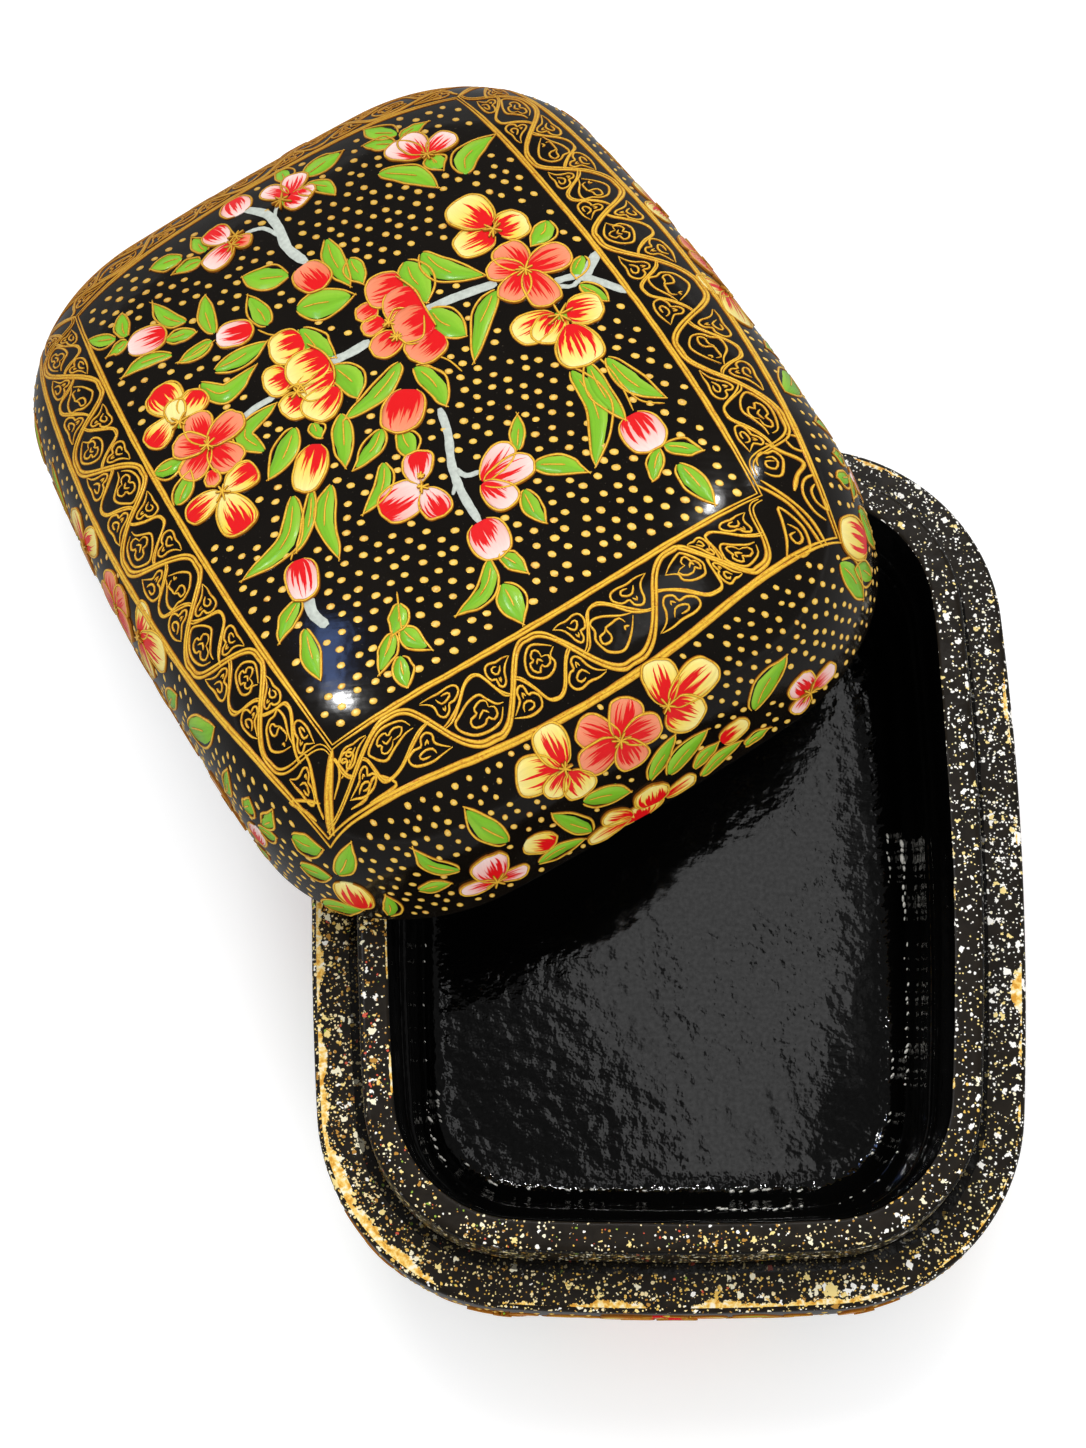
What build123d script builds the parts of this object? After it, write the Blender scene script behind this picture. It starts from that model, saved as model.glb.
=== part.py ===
from build123d import *
import math
import os

# A papier-mache box in millimetres, +Z up: a bowl-shaped base with a collar glued inside its rim,
# and a domed lid that lifts off.  The origin is the centre of the base's flat underside.
# X runs across the box and Y along it.  The lid is off: it leans on the base's collar with the
# far edge of its rim on the surface that the base stands on.

# Plan outline of the rim: a rectangle with bowed sides and ends and rounded corners
HALF_WIDTH = 51.0
HALF_LENGTH = 64.5
SIDE_BOW_RADIUS = 480.0
END_BOW_RADIUS = 445.0
CORNER_RADIUS = 29.0

RIM_ROUND = 0.8             # the worn outer edges of the base's and the lid's rims

# Base shell
LEDGE_HEIGHT = 28.0         # underside to the flat rim that the lid sits on
LEDGE_WIDTH = 6.9           # outer edge of the rim to the collar
UNDERSIDE_INSET = 13.0      # the flat underside is this much smaller than the rim on each side
BASE_ROUNDNESS = 3.0        # exponent of the bowl's profile: 2 is an ellipse, more is squarer
FLOOR_THICKNESS = 4.0
UNDERSIDE_ROUND = 3.0

# Collar, a strip glued into a recess inside the base's rim
COLLAR_RISE = 7.8           # above the ledge
COLLAR_SEAT_DEPTH = 12.0    # below the ledge
COLLAR_THICKNESS = 4.5      # at its top
COLLAR_DRAFT = 2.5          # it is this much thicker at its foot
COLLAR_OUTER_ROUND = 1.0
COLLAR_INNER_ROUND = 0.7

# Floor of the cavity, inside the foot of the collar
FLOOR_INSET_SIDE = 2.5
FLOOR_INSET_END = 7.0
FLOOR_CORNER_RADIUS = 14.0
FLOOR_FILLET = 2.5

# Lid shell
LID_HEIGHT = 33.0
LID_ROUNDNESS = 3.9
LID_ROOF = 4.5
COLLAR_CLEARANCE = 0.4      # between the collar and the inside of the lid's rim
RIM_INNER_ROUND = 0.6

# How the lid lies: turned about its own upright axis, then leaned over
LID_TURN = 29.5
LEAN_DIRECTION = 135.3      # the way the lid's top leans, from +X towards +Y
LID_CENTRE_X = -31.6
LID_CENTRE_Y = 55.1
REST_GAP = 0.3              # between the lid's rim and the collar that it leans on
STEEPEST_LEAN = 45.0

# How finely a rounded profile or an outline is followed
PROFILE_SECTIONS = 11
CROWN_SHARE = 0.2           # the top of a dome is flat over this share of its width
LEAN_SAMPLES = 360
LEAN_HALVINGS = 30


def arc_centres(half_width, half_length, side_radius, end_radius, corner_radius):
    """Centres of the side, end and corner arcs in the outline's first quarter, all tangent."""
    side = Vector(half_width - side_radius, 0)
    end = Vector(0, half_length - end_radius)
    to_side = side_radius - corner_radius
    to_end = end_radius - corner_radius
    span = (end - side).length
    along = (to_side**2 - to_end**2 + span**2) / (2 * span)
    across = math.sqrt(to_side**2 - along**2)
    direction = (end - side).normalized()
    corner = side + direction * along + Vector(-direction.Y, direction.X) * across
    return side, end, corner


def bowed_outline(half_width, half_length, side_radius, end_radius, corner_radius, height=0.0):
    """A closed face of eight tangent arcs, centred on the Z axis at the given height."""
    side, end, corner = arc_centres(half_width, half_length, side_radius, end_radius, corner_radius)
    side_end = math.degrees(math.atan2(corner.Y, corner.X - side.X))
    corner_end = math.degrees(math.atan2(corner.Y - end.Y, corner.X))
    arcs = []
    for sign, turn in ((1, 0), (-1, 180)):
        side_centre = (sign * side.X, 0, height)
        end_centre = (0, sign * end.Y, height)
        first_corner = (sign * corner.X, sign * corner.Y, height)
        second_corner = (-sign * corner.X, sign * corner.Y, height)
        corner_sweep = corner_end - side_end
        arcs.append(CenterArc(side_centre, side_radius, turn - side_end, 2 * side_end))
        arcs.append(CenterArc(first_corner, corner_radius, turn + side_end, corner_sweep))
        arcs.append(CenterArc(end_centre, end_radius, turn + corner_end, 180 - 2 * corner_end))
        arcs.append(CenterArc(second_corner, corner_radius, turn + 180 - corner_end, corner_sweep))
    return Face(Wire(arcs))


def rim_outline(inset, height=0.0, share=1.0):
    """The rim's outline moved inwards by inset, then scaled about its centre."""
    return bowed_outline(
        (HALF_WIDTH - inset) * share,
        (HALF_LENGTH - inset) * share,
        (SIDE_BOW_RADIUS - inset) * share,
        (END_BOW_RADIUS - inset) * share,
        (CORNER_RADIUS - inset) * share,
        height,
    )


def pillow(inset, full_height, roundness, flat_share):
    """A rounded solid from the rim's plane out to a flat at flat_share of the rim's size.

    Its profile is share**roundness + (height / full_height)**roundness = 1.
    """
    flat_height = (1 - flat_share**roundness) ** (1 / roundness)
    last_angle = math.atan2(flat_height, flat_share)
    sections = []
    for index in range(PROFILE_SECTIONS):
        angle = last_angle * index / (PROFILE_SECTIONS - 1)
        reach = (math.cos(angle) ** roundness + math.sin(angle) ** roundness) ** (-1 / roundness)
        share = math.cos(angle) * reach
        height = math.sin(angle) * reach * full_height
        sections.append(rim_outline(inset, height, share))
    return loft(sections)


def top_edges(solid):
    """The edges in the highest level plane of a solid."""
    return solid.edges().group_by(Axis.Z)[-1]


def bottom_edges(solid):
    """The edges in the lowest level plane of a solid."""
    return solid.edges().group_by(Axis.Z)[0]


def inner_edges(edges, least_depth):
    """Those edges that lie more than least_depth inside the rim's outline."""
    middles = [(edge, edge.position_at(0.5)) for edge in edges]
    return [edge for edge, middle in middles if depth_inside_rim(middle.X, middle.Y) > least_depth]


def base_shell():
    """The bowl, with the collar's recess at its rim and the cavity below it."""
    flat_share = 1 - UNDERSIDE_INSET / HALF_WIDTH
    flat_height = (1 - flat_share**BASE_ROUNDNESS) ** (1 / BASE_ROUNDNESS)
    bowl = pillow(0, -LEDGE_HEIGHT / flat_height, BASE_ROUNDNESS, flat_share)
    bowl = Pos(0, 0, LEDGE_HEIGHT) * bowl
    bowl = fillet(bottom_edges(bowl), UNDERSIDE_ROUND)
    bowl = fillet(top_edges(bowl), RIM_ROUND)
    seat_height = LEDGE_HEIGHT - COLLAR_SEAT_DEPTH
    recess = extrude(rim_outline(LEDGE_WIDTH, seat_height), amount=COLLAR_SEAT_DEPTH, dir=(0, 0, 1))
    return bowl - recess - cavity(seat_height)


def cavity(seat_height):
    """The space below the collar: walls that close in to a flat floor with a filleted edge."""
    foot_inset = LEDGE_WIDTH + COLLAR_THICKNESS + COLLAR_DRAFT
    mouth = rim_outline(foot_inset, seat_height)
    floor = bowed_outline(
        HALF_WIDTH - foot_inset - FLOOR_INSET_SIDE,
        HALF_LENGTH - foot_inset - FLOOR_INSET_END,
        SIDE_BOW_RADIUS - foot_inset,
        END_BOW_RADIUS - foot_inset,
        FLOOR_CORNER_RADIUS,
        FLOOR_THICKNESS,
    )
    space = loft([floor, mouth])
    return fillet(bottom_edges(space), FLOOR_FILLET)


def lip_collar():
    """The strip that stands above the ledge and guides the lid."""
    seat_height = LEDGE_HEIGHT - COLLAR_SEAT_DEPTH
    top_height = LEDGE_HEIGHT + COLLAR_RISE
    outside = extrude(rim_outline(LEDGE_WIDTH, seat_height), amount=top_height - seat_height, dir=(0, 0, 1))
    outside = fillet(top_edges(outside), COLLAR_OUTER_ROUND)
    top_inset = LEDGE_WIDTH + COLLAR_THICKNESS
    inside = loft([rim_outline(top_inset + COLLAR_DRAFT, seat_height), rim_outline(top_inset, top_height)])
    strip = outside - inside
    mouth_edges = inner_edges(top_edges(strip), LEDGE_WIDTH + COLLAR_THICKNESS / 2)
    return fillet(mouth_edges, COLLAR_INNER_ROUND)


def lid_shell():
    """The domed lid as it lies, leaning on the collar, its hollow open below."""
    dome = pillow(0, LID_HEIGHT, LID_ROUNDNESS, CROWN_SHARE)
    dome = fillet(bottom_edges(dome), RIM_ROUND)
    rim_width = LEDGE_WIDTH - COLLAR_CLEARANCE
    shell = dome - pillow(rim_width, LID_HEIGHT - LID_ROOF, LID_ROUNDNESS, CROWN_SHARE)
    shell = fillet(inner_edges(bottom_edges(shell), rim_width / 2), RIM_INNER_ROUND)
    lean = resting_lean()
    leaned = Rot(Z=LEAN_DIRECTION) * Rot(Y=lean) * Rot(Z=LID_TURN - LEAN_DIRECTION)
    return Pos(LID_CENTRE_X, LID_CENTRE_Y, lid_centre_height(lean)) * leaned * shell


def outline_points(inset):
    """Points spread along the rim's outline moved inwards by inset."""
    wire = rim_outline(inset).outer_wire()
    return [wire.position_at(index / LEAN_SAMPLES) for index in range(LEAN_SAMPLES)]


def lean_axes(x, y):
    """A plan position as its parts along and across the direction of lean."""
    direction = math.radians(LEAN_DIRECTION)
    along = x * math.cos(direction) + y * math.sin(direction)
    across = y * math.cos(direction) - x * math.sin(direction)
    return along, across


def lid_centre_height(lean):
    """Height of the centre of the lid's rim when the rim's lowest edge is on the ground."""
    tilt = math.radians(lean)
    turn = math.radians(LID_TURN)
    drops = []
    for point in outline_points(RIM_ROUND):
        x = point.X * math.cos(turn) - point.Y * math.sin(turn)
        y = point.X * math.sin(turn) + point.Y * math.cos(turn)
        along, _ = lean_axes(x, y)
        drops.append(along * math.sin(tilt) - RIM_ROUND * math.cos(tilt))
    return max(drops) + RIM_ROUND


def depth_inside_rim(x, y):
    """How far a plan position of the lid lies inside its rim's outline."""
    outline = (HALF_WIDTH, HALF_LENGTH, SIDE_BOW_RADIUS, END_BOW_RADIUS, CORNER_RADIUS)
    side, end, corner = arc_centres(*outline)
    x = abs(x)
    y = abs(y)
    if math.atan2(y, x - side.X) < math.atan2(corner.Y, corner.X - side.X):
        return SIDE_BOW_RADIUS - math.hypot(x - side.X, y)
    if math.atan2(y - end.Y, x) > math.atan2(corner.Y - end.Y, corner.X):
        return END_BOW_RADIUS - math.hypot(x, y - end.Y)
    return CORNER_RADIUS - math.hypot(x - corner.X, y - corner.Y)


def collar_gap(lean, collar_points):
    """The least gap between the collar's top and the underside of the lid's rim at this lean."""
    tilt = math.radians(lean)
    direction = math.radians(LEAN_DIRECTION)
    turn_back = direction - math.radians(LID_TURN)
    rise = LEDGE_HEIGHT + COLLAR_RISE - lid_centre_height(lean)
    gaps = []
    for point in collar_points:
        along, across = lean_axes(point.X - LID_CENTRE_X, point.Y - LID_CENTRE_Y)
        level = along * math.sin(tilt) + rise * math.cos(tilt)
        along = along * math.cos(tilt) - rise * math.sin(tilt)
        x = along * math.cos(turn_back) - across * math.sin(turn_back)
        y = along * math.sin(turn_back) + across * math.cos(turn_back)
        if 0 < depth_inside_rim(x, y) < LEDGE_WIDTH - COLLAR_CLEARANCE:
            gaps.append(-level)
    return min(gaps, default=REST_GAP)


def resting_lean():
    """The lean, in degrees, at which the lid's rim clears the collar by the rest gap."""
    collar_points = outline_points(LEDGE_WIDTH) + outline_points(LEDGE_WIDTH + COLLAR_THICKNESS)
    shallow = 0.0
    steep = STEEPEST_LEAN
    for _ in range(LEAN_HALVINGS):
        middle = (shallow + steep) / 2
        if collar_gap(middle, collar_points) < REST_GAP:
            shallow = middle
        else:
            steep = middle
    return steep


def main():
    os.makedirs("parts", exist_ok=True)
    export_step(base_shell(), "parts/base_shell.step")
    export_step(lip_collar(), "parts/lip_collar.step")
    export_step(lid_shell(), "parts/lid_shell.step")


main()
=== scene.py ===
import bisect
import functools
import math
import random

import bmesh
import bpy
from mathutils import Matrix, Vector, noise


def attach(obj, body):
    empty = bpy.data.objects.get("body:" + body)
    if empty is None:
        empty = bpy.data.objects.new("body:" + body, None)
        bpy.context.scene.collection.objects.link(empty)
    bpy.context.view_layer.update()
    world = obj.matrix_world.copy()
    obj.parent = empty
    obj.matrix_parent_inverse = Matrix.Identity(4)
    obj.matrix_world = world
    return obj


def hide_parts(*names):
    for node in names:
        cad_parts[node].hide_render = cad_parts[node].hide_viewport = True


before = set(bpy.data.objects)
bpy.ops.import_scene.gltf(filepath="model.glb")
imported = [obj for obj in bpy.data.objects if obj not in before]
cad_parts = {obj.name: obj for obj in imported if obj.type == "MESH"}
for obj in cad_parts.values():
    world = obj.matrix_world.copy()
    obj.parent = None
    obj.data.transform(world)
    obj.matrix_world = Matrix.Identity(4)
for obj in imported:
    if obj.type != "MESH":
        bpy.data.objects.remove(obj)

bl_info = {
    "name": "Painted Papier-mache Box",
    "version": (1, 0, 0),
    "blender": (4, 5, 0),
    "location": "3D View > Sidebar > Papier-mache",
    "description": "A lacquered papier-mache box with a domed lid and a painted flower pattern",
    "category": "Add Mesh",
}

MM = 0.001
# Steps round the pieces, round an outline when it is measured, and up a profile
AROUND = 480
WALK_STEPS = 1440
PROFILE_STEPS = 160
# Exponents of the two profiles: 2 is round, and more is squarer
LID_ROUNDNESS = 3.9
BASE_ROUNDNESS = 3.0
# Finishes of the shells and the collar, by their place in base_finishes
OUTSIDE, RIM, INSIDE = 0, 1, 2
# Bands of the skin that don't wear: plain faces, the bowl's sides, the collar's foot and its
# top, and the lacquer that hangs in beads.  On the ledge, the band is mm from its outer edge
PLAIN, BOWL_SIDE, COLLAR_FOOT, COLLAR_TOP, BEADED = 9.0, 4.0, 6.0, 2.0, 12.0
# How far the surface strays, over what distance, and which pattern
BASE_UNEVENNESS = (0.12 * MM, 22 * MM, 3)
COLLAR_UNEVENNESS = (0.05 * MM, 5 * MM, 9)
# How far the lid's surface strays in mm, and how many swells there are to a mm
LID_UNEVENNESS, LID_SWELLS = 0.16, 0.05
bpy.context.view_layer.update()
BASE_NODES = ("base_shell",)
COLLAR_NODES = ("lip_collar",)
LID_NODES = ("lid_shell",)


def linear(hex_colour):
    """An sRGB hex colour as linear red, green and blue."""
    values = [int(hex_colour[i:i + 2], 16) / 255 for i in (1, 3, 5)]
    return tuple(v / 12.92 if v <= 0.04045 else ((v + 0.055) / 1.055) ** 2.4 for v in values)


# ---------------------------------------------------------------- values a user would change

def length(name, default_mm, description):
    return bpy.props.FloatProperty(
        name=name, description=description, default=default_mm * MM, unit="LENGTH", precision=5
    )


def angle(name, degrees, description):
    return bpy.props.FloatProperty(
        name=name, description=description, default=math.radians(degrees), subtype="ANGLE"
    )


def colour(name, hex_colour, description):
    return bpy.props.FloatVectorProperty(
        name=name, description=description, default=linear(hex_colour),
        subtype="COLOR", size=3, min=0.0, max=1.0,
    )


class BoxSizes(bpy.types.PropertyGroup):
    half_width: length("Half width", 51, "Middle of the box to the rim across it")
    half_length: length("Half length", 64.5, "Middle of the box to the rim along it")
    side_bow_radius: length("Side bow radius", 480, "Radius of the long sides in plan")
    end_bow_radius: length("End bow radius", 445, "Radius of the short ends in plan")
    corner_radius: length("Corner radius", 29, "Radius of the corners in plan")
    ledge_height: length("Ledge height", 28, "Underside to the ledge that the lid sits on")
    ledge_width: length("Ledge width", 6.9, "Outer edge of the rim to the collar")
    rim_round: length("Rim rounding", 0.8, "Radius of the worn outer edges of both rims")
    underside_inset: length("Underside inset", 13, "How much smaller the flat underside is")
    underside_round: length("Underside rounding", 3, "Radius round the flat underside")
    collar_rise: length("Collar rise", 7.8, "Collar above the ledge")
    collar_seat_depth: length("Collar seat depth", 12, "Foot of the collar below the ledge")
    collar_thickness: length("Collar thickness", 4.5, "Thickness of the collar's top")
    collar_draft: length("Collar draft", 2.5, "How much thicker the collar's foot is")
    floor_thickness: length("Floor thickness", 4, "Thickness of the base's floor")
    lid_height: length("Lid height", 33, "Lid's rim to its crown")
    lid_roof: length("Lid roof", 4.5, "Thickness of the lid's crown")
    collar_clearance: length("Collar clearance", 0.4, "Gap between the collar and the lid")


class LidPose(bpy.types.PropertyGroup):
    centre_x: length("Centre X", -31.6, "Middle of the lid's rim across the box")
    centre_y: length("Centre Y", 55.1, "Middle of the lid's rim along the box")
    centre_z: length("Centre Z", 23.744, "Height of the middle of the lid's rim")
    turn: angle("Turn", 29.5, "Turn of the lid about its own upright axis")
    lean: angle("Lean", 20.5536, "How far the lid leans over")
    lean_direction: angle("Lean direction", 135.3, "The way the lid's top leans, from +X to +Y")


class PaintColours(bpy.types.PropertyGroup):
    lid_lacquer: colour("Lid lacquer", "#130f0b", "Black ground of the lid and the bowl's outside")
    inside_lacquer: colour("Inside lacquer", "#060606", "Thick black gloss inside the base")
    rim_lacquer: colour("Rim lacquer", "#1d1812", "Rubbed dark ground of the ledge and the collar")
    gold: colour("Gold", "#febe3e", "Gold of the dots, rails and outlines")
    leaf: colour("Leaf", "#7ebd2c", "Leaves")
    coral: colour("Coral", "#ee7f58", "Coral petals")
    yellow: colour("Yellow", "#fadb50", "Yellow petals")
    pink: colour("Pink", "#fab9b0", "Pink petals")
    red: colour("Red", "#e2161a", "Red strokes of the petals")
    branch: colour("Branch", "#ccd4cc", "Pale branches")
    # white of the cavity's crumbs, which are partly painted glints
    silver_leaf: colour("Silver leaf", "#f6f4ec", "Crumbs of leaf in the cavity")


# ---------------------------------------------------------------- the forms of the box, in mm

def bracket(marks, value):
    """The mark that follows a value in a rising list, and how far the value is towards it."""
    i = min(max(bisect.bisect_right(marks, value), 1), len(marks) - 1)
    return i, (value - marks[i - 1]) / (marks[i] - marks[i - 1])


class Outline:
    """The rim in plan: two long arcs, two end arcs and four corner arcs, all tangent."""

    def __init__(self, half_width, half_length, side_radius, end_radius, corner_radius):
        self.radii = (side_radius, end_radius, corner_radius)
        self.side = Vector((half_width - side_radius, 0))
        self.end = Vector((0, half_length - end_radius))
        to_side = side_radius - corner_radius
        to_end = end_radius - corner_radius
        span = (self.end - self.side).length
        along = (to_side ** 2 - to_end ** 2 + span ** 2) / (2 * span)
        across = math.sqrt(to_side ** 2 - along ** 2)
        way = (self.end - self.side).normalized()
        self.corner = self.side + way * along + Vector((-way.y, way.x)) * across
        from_side = (self.corner - self.side).normalized()
        from_end = (self.corner - self.end).normalized()
        side_point = self.side + from_side * side_radius
        end_point = self.end + from_end * end_radius
        self.side_limit = math.atan2(side_point.y, side_point.x)
        self.end_limit = math.atan2(end_point.y, end_point.x)

    def reach(self, turn):
        """Distance from the centre to the outline in the direction turn."""
        ray = Vector((abs(math.cos(turn)), abs(math.sin(turn))))
        bearing = math.atan2(ray.y, ray.x)
        centre, radius = self.corner, self.radii[2]
        if bearing < self.side_limit:
            centre, radius = self.side, self.radii[0]
        elif bearing > self.end_limit:
            centre, radius = self.end, self.radii[1]
        middle = centre.dot(ray)
        return middle + math.sqrt(max(radius ** 2 - centre.length_squared + middle ** 2, 0))

    @functools.cached_property
    def walk(self):
        """Distances along the outline from +X, and the turn at each."""
        turns = [math.tau * i / WALK_STEPS for i in range(WALK_STEPS + 1)]
        points = [Vector((math.cos(t), math.sin(t))) * self.reach(t) for t in turns]
        distances = [0.0]
        for first, second in zip(points, points[1:]):
            distances.append(distances[-1] + (second - first).length)
        return distances, turns

    def turn_at(self, distance):
        """The turn reached after a distance along the outline from +X."""
        distances, turns = self.walk
        i, part = bracket(distances, distance % distances[-1])
        return turns[i - 1] + part * (turns[i] - turns[i - 1])


def rim_outline(sizes, inset=0.0):
    """The rim's outline moved inwards by inset."""
    return Outline(
        sizes.half_width / MM - inset,
        sizes.half_length / MM - inset,
        sizes.side_bow_radius / MM - inset,
        sizes.end_bow_radius / MM - inset,
        sizes.corner_radius / MM - inset,
    )


class Pillow:
    """A rounded half of the box.  Its profile is share**p + (rise / height)**p = 1."""

    def __init__(self, outline, height, roundness, uneven):
        self.outline = outline
        self.height = height
        self.roundness = roundness
        self.uneven = uneven

    def share(self, x, y):
        """How far out a plan position is, from 0 at the middle to 1 at the rim."""
        return math.hypot(x, y) / self.outline.reach(math.atan2(y, x))

    def reached(self, x, y, rise):
        """How far out a place is: 1 on the pillow's surface."""
        return self.share(x, y) ** self.roundness + (rise / self.height) ** self.roundness

    def rise(self, share):
        """Height of the surface above the rim at a share."""
        p = self.roundness
        return self.height * max(1 - share ** p, 0) ** (1 / p)

    def profile_point(self, bend):
        """Share and rise at a bend from 0 at the rim to pi/2 at the crown."""
        p = self.roundness
        reach = (math.cos(bend) ** p + math.sin(bend) ** p) ** (-1 / p)
        return math.cos(bend) * reach, math.sin(bend) * reach * self.height

    def normal(self, x, y, rise):
        """The way out of the surface, from how the share changes across the plan."""
        p = self.roundness
        share = min(self.share(x, y), 1.0)
        step = 0.02
        slope_x = (self.share(x + step, y) - self.share(x - step, y)) / (2 * step)
        slope_y = (self.share(x, y + step) - self.share(x, y - step)) / (2 * step)
        steep = share ** (p - 1)
        return Vector((
            steep * slope_x, steep * slope_y, max(rise, 0) ** (p - 1) / self.height ** p,
        )).normalized()

    def handmade(self, point):
        """The slight unevenness of a form pressed and rubbed down by hand."""
        return self.uneven * noise.noise(point * LID_SWELLS)

    def lifted(self, x, y, rise, lift):
        """A place of the surface moved out by lift and by the unevenness."""
        point = Vector((x, y, rise))
        return point + self.normal(x, y, rise) * (lift + self.handmade(point))

    def on_top(self, x, y, lift):
        """A place on the dome from its plan position."""
        return self.lifted(x, y, self.rise(min(self.share(x, y), 1.0)), lift)

    @functools.lru_cache(maxsize=None)
    def climb(self, reach_tenths):
        """Lengths up the profile from the rim, for an outline that is this far out."""
        reach = reach_tenths / 10
        places = [
            self.profile_point(i * math.pi / 2 / PROFILE_STEPS) for i in range(PROFILE_STEPS + 1)
        ]
        lengths = [0.0]
        for (share, rise), (next_share, next_rise) in zip(places, places[1:]):
            lengths.append(lengths[-1] + math.hypot((share - next_share) * reach, next_rise - rise))
        return lengths, places

    def on_side(self, distance, climb, lift):
        """A place on the side: a distance along the rim from +X, and a length up from the rim."""
        turn = self.outline.turn_at(distance)
        reach = self.outline.reach(turn)
        lengths, places = self.climb(round(reach * 10))
        i, part = bracket(lengths, max(climb, 0.0))
        share, rise = [low + part * (high - low) for low, high in zip(places[i - 1], places[i])]
        x = math.cos(turn) * reach * share
        return self.lifted(x, math.sin(turn) * reach * share, rise, lift)


def lid_pillow(sizes):
    return Pillow(rim_outline(sizes), sizes.lid_height / MM, LID_ROUNDNESS, LID_UNEVENNESS)


def base_pillow(sizes):
    """The bowl as a pillow that opens upwards; its rise is measured down from the ledge."""
    flat_share = 1 - sizes.underside_inset / sizes.half_width
    full = sizes.ledge_height / MM / (1 - flat_share ** BASE_ROUNDNESS) ** (1 / BASE_ROUNDNESS)
    return Pillow(rim_outline(sizes), full, BASE_ROUNDNESS, 0)


def lid_place(pose):
    """Lid's own millimetres, with its rim at zero, to the place where it leans, in metres."""
    centre = Matrix.Translation((pose.centre_x, pose.centre_y, pose.centre_z))
    to_lean = Matrix.Rotation(pose.lean_direction, 4, "Z")
    leaned = Matrix.Rotation(pose.lean, 4, "Y")
    turned = Matrix.Rotation(pose.turn - pose.lean_direction, 4, "Z")
    return centre @ to_lean @ leaned @ turned @ Matrix.Scale(MM, 4)


def base_place(sizes):
    """Bowl's own millimetres, measured down from the ledge, to the standing base in metres."""
    upside_down = Matrix.Scale(-1, 4, (0, 0, 1))
    return Matrix.Translation((0, 0, sizes.ledge_height)) @ upside_down @ Matrix.Scale(MM, 4)


# ---------------------------------------------------------------- making meshes

def finish_piece(name, bm, body, slot, materials, smooth=True):
    """A mesh object at the origin that rides on a body."""
    mesh = bpy.data.meshes.new(name)
    bm.to_mesh(mesh)
    bm.free()
    for material in materials:
        mesh.materials.append(material)
    mesh.polygons.foreach_set("use_smooth", [smooth] * len(mesh.polygons))
    piece = bpy.data.objects.new(name, mesh)
    bpy.context.scene.collection.objects.link(piece)
    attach(piece, body)
    return piece


def ring_turns(outline, count):
    """Turns spread evenly along the rim, starting where create_circle starts."""
    perimeter = outline.walk[0][-1]
    return [outline.turn_at(perimeter * (i / count + 0.25)) for i in range(count)]


def roughen(bm, amount, pitch, seed):
    """Hand-rubbed unevenness."""
    noise.seed_set(seed)
    for vert in bm.verts:
        vert.co += Vector(noise.noise_vector(vert.co / pitch + Vector((seed, 0, 0)))) * amount


def skin_rings(rings, turns):
    """A closed skin through rings of (reach at a turn, height, finish, band).

    It starts from a filled circle, each ring is extruded from the one before, and the last
    ring is filled.  The band is kept with each vertex for the worn edges.
    """
    bm = bmesh.new()
    order = bm.verts.layers.int.new("order")
    band = bm.verts.layers.float.new("band")
    made = bmesh.ops.create_circle(bm, cap_ends=True, segments=len(turns), radius=1)
    for i, vert in enumerate(made["verts"]):
        vert[order] = i
    verts = made["verts"]
    edges = bm.edges[:]
    for number, (reach, height, finish, wear) in enumerate(rings):
        if number:
            made = bmesh.ops.extrude_edge_only(bm, edges=edges)
            verts = [item for item in made["geom"] if isinstance(item, bmesh.types.BMVert)]
            faces = [item for item in made["geom"] if isinstance(item, bmesh.types.BMFace)]
            fresh = set(verts)
            edges = [
                item for item in made["geom"]
                if isinstance(item, bmesh.types.BMEdge) and set(item.verts) <= fresh
            ]
            for face in faces:
                face.material_index = finish
        for vert in verts:
            turn = turns[vert[order]]
            out = reach(turn)
            vert.co = (math.cos(turn) * out, math.sin(turn) * out, height)
            vert[band] = wear
    bmesh.ops.holes_fill(bm, edges=edges)
    bmesh.ops.recalc_face_normals(bm, faces=bm.faces)
    return bm


def scaled(outline, share):
    return lambda turn: outline.reach(turn) * share


def between(first, second, part, inward):
    """Part of the way from one outline to another, and then inward."""
    return lambda turn: first.reach(turn) * (1 - part) + second.reach(turn) * part - inward


def quarter_round(steps, first=0):
    """The bends of a quarter round, in even steps."""
    return [step / steps * math.pi / 2 for step in range(first, steps + 1)]


# ---------------------------------------------------------------- laying paint

def along_line(points, part):
    """Position and direction on a smooth line through the points, part from 0 to 1."""
    spans = len(points) - 1
    i = min(int(part * spans), spans - 1)
    t = part * spans - i
    a = Vector(points[max(i - 1, 0)])
    b = Vector(points[i])
    c = Vector(points[i + 1])
    d = Vector(points[min(i + 2, spans)])
    place = 0.5 * (2 * b + (c - a) * t + (2 * a - 5 * b + 4 * c - d) * t * t
                   + (3 * b - a - 3 * c + d) * t ** 3)
    way = 0.5 * ((c - a) + 2 * (2 * a - 5 * b + 4 * c - d) * t
                 + 3 * (3 * b - a - 3 * c + d) * t * t)
    if way.length < 1e-6:
        way = c - b
    return place, way.normalized()


def petal_width(part):
    """Narrow at the foot, widest past the middle, round at the tip."""
    widest = 0.62
    if part < widest:
        return max(1 - ((widest - part) / widest) ** 1.7, 0) ** 0.8
    return math.sqrt(max(1 - ((part - widest) / (1 - widest)) ** 2, 0))


def round_width(part):
    return math.sqrt(max(1 - (2 * part - 1) ** 2, 0))


def leaf_width(part):
    return math.sin(math.pi * part ** 0.9) ** 0.85


def stem_width(part):
    return min(1.0, 6 * part + 0.5, 6 * (1 - part) + 0.5)


def line_width(part):
    return min(1.0, 5 * part + 0.35, 5 * (1 - part) + 0.35)


# How far the edges of a mark, a line and a dot sink into the ground
MARK_SINK, LINE_SINK, DOT_SINK = 0.04, 0.03, 0.015


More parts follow.
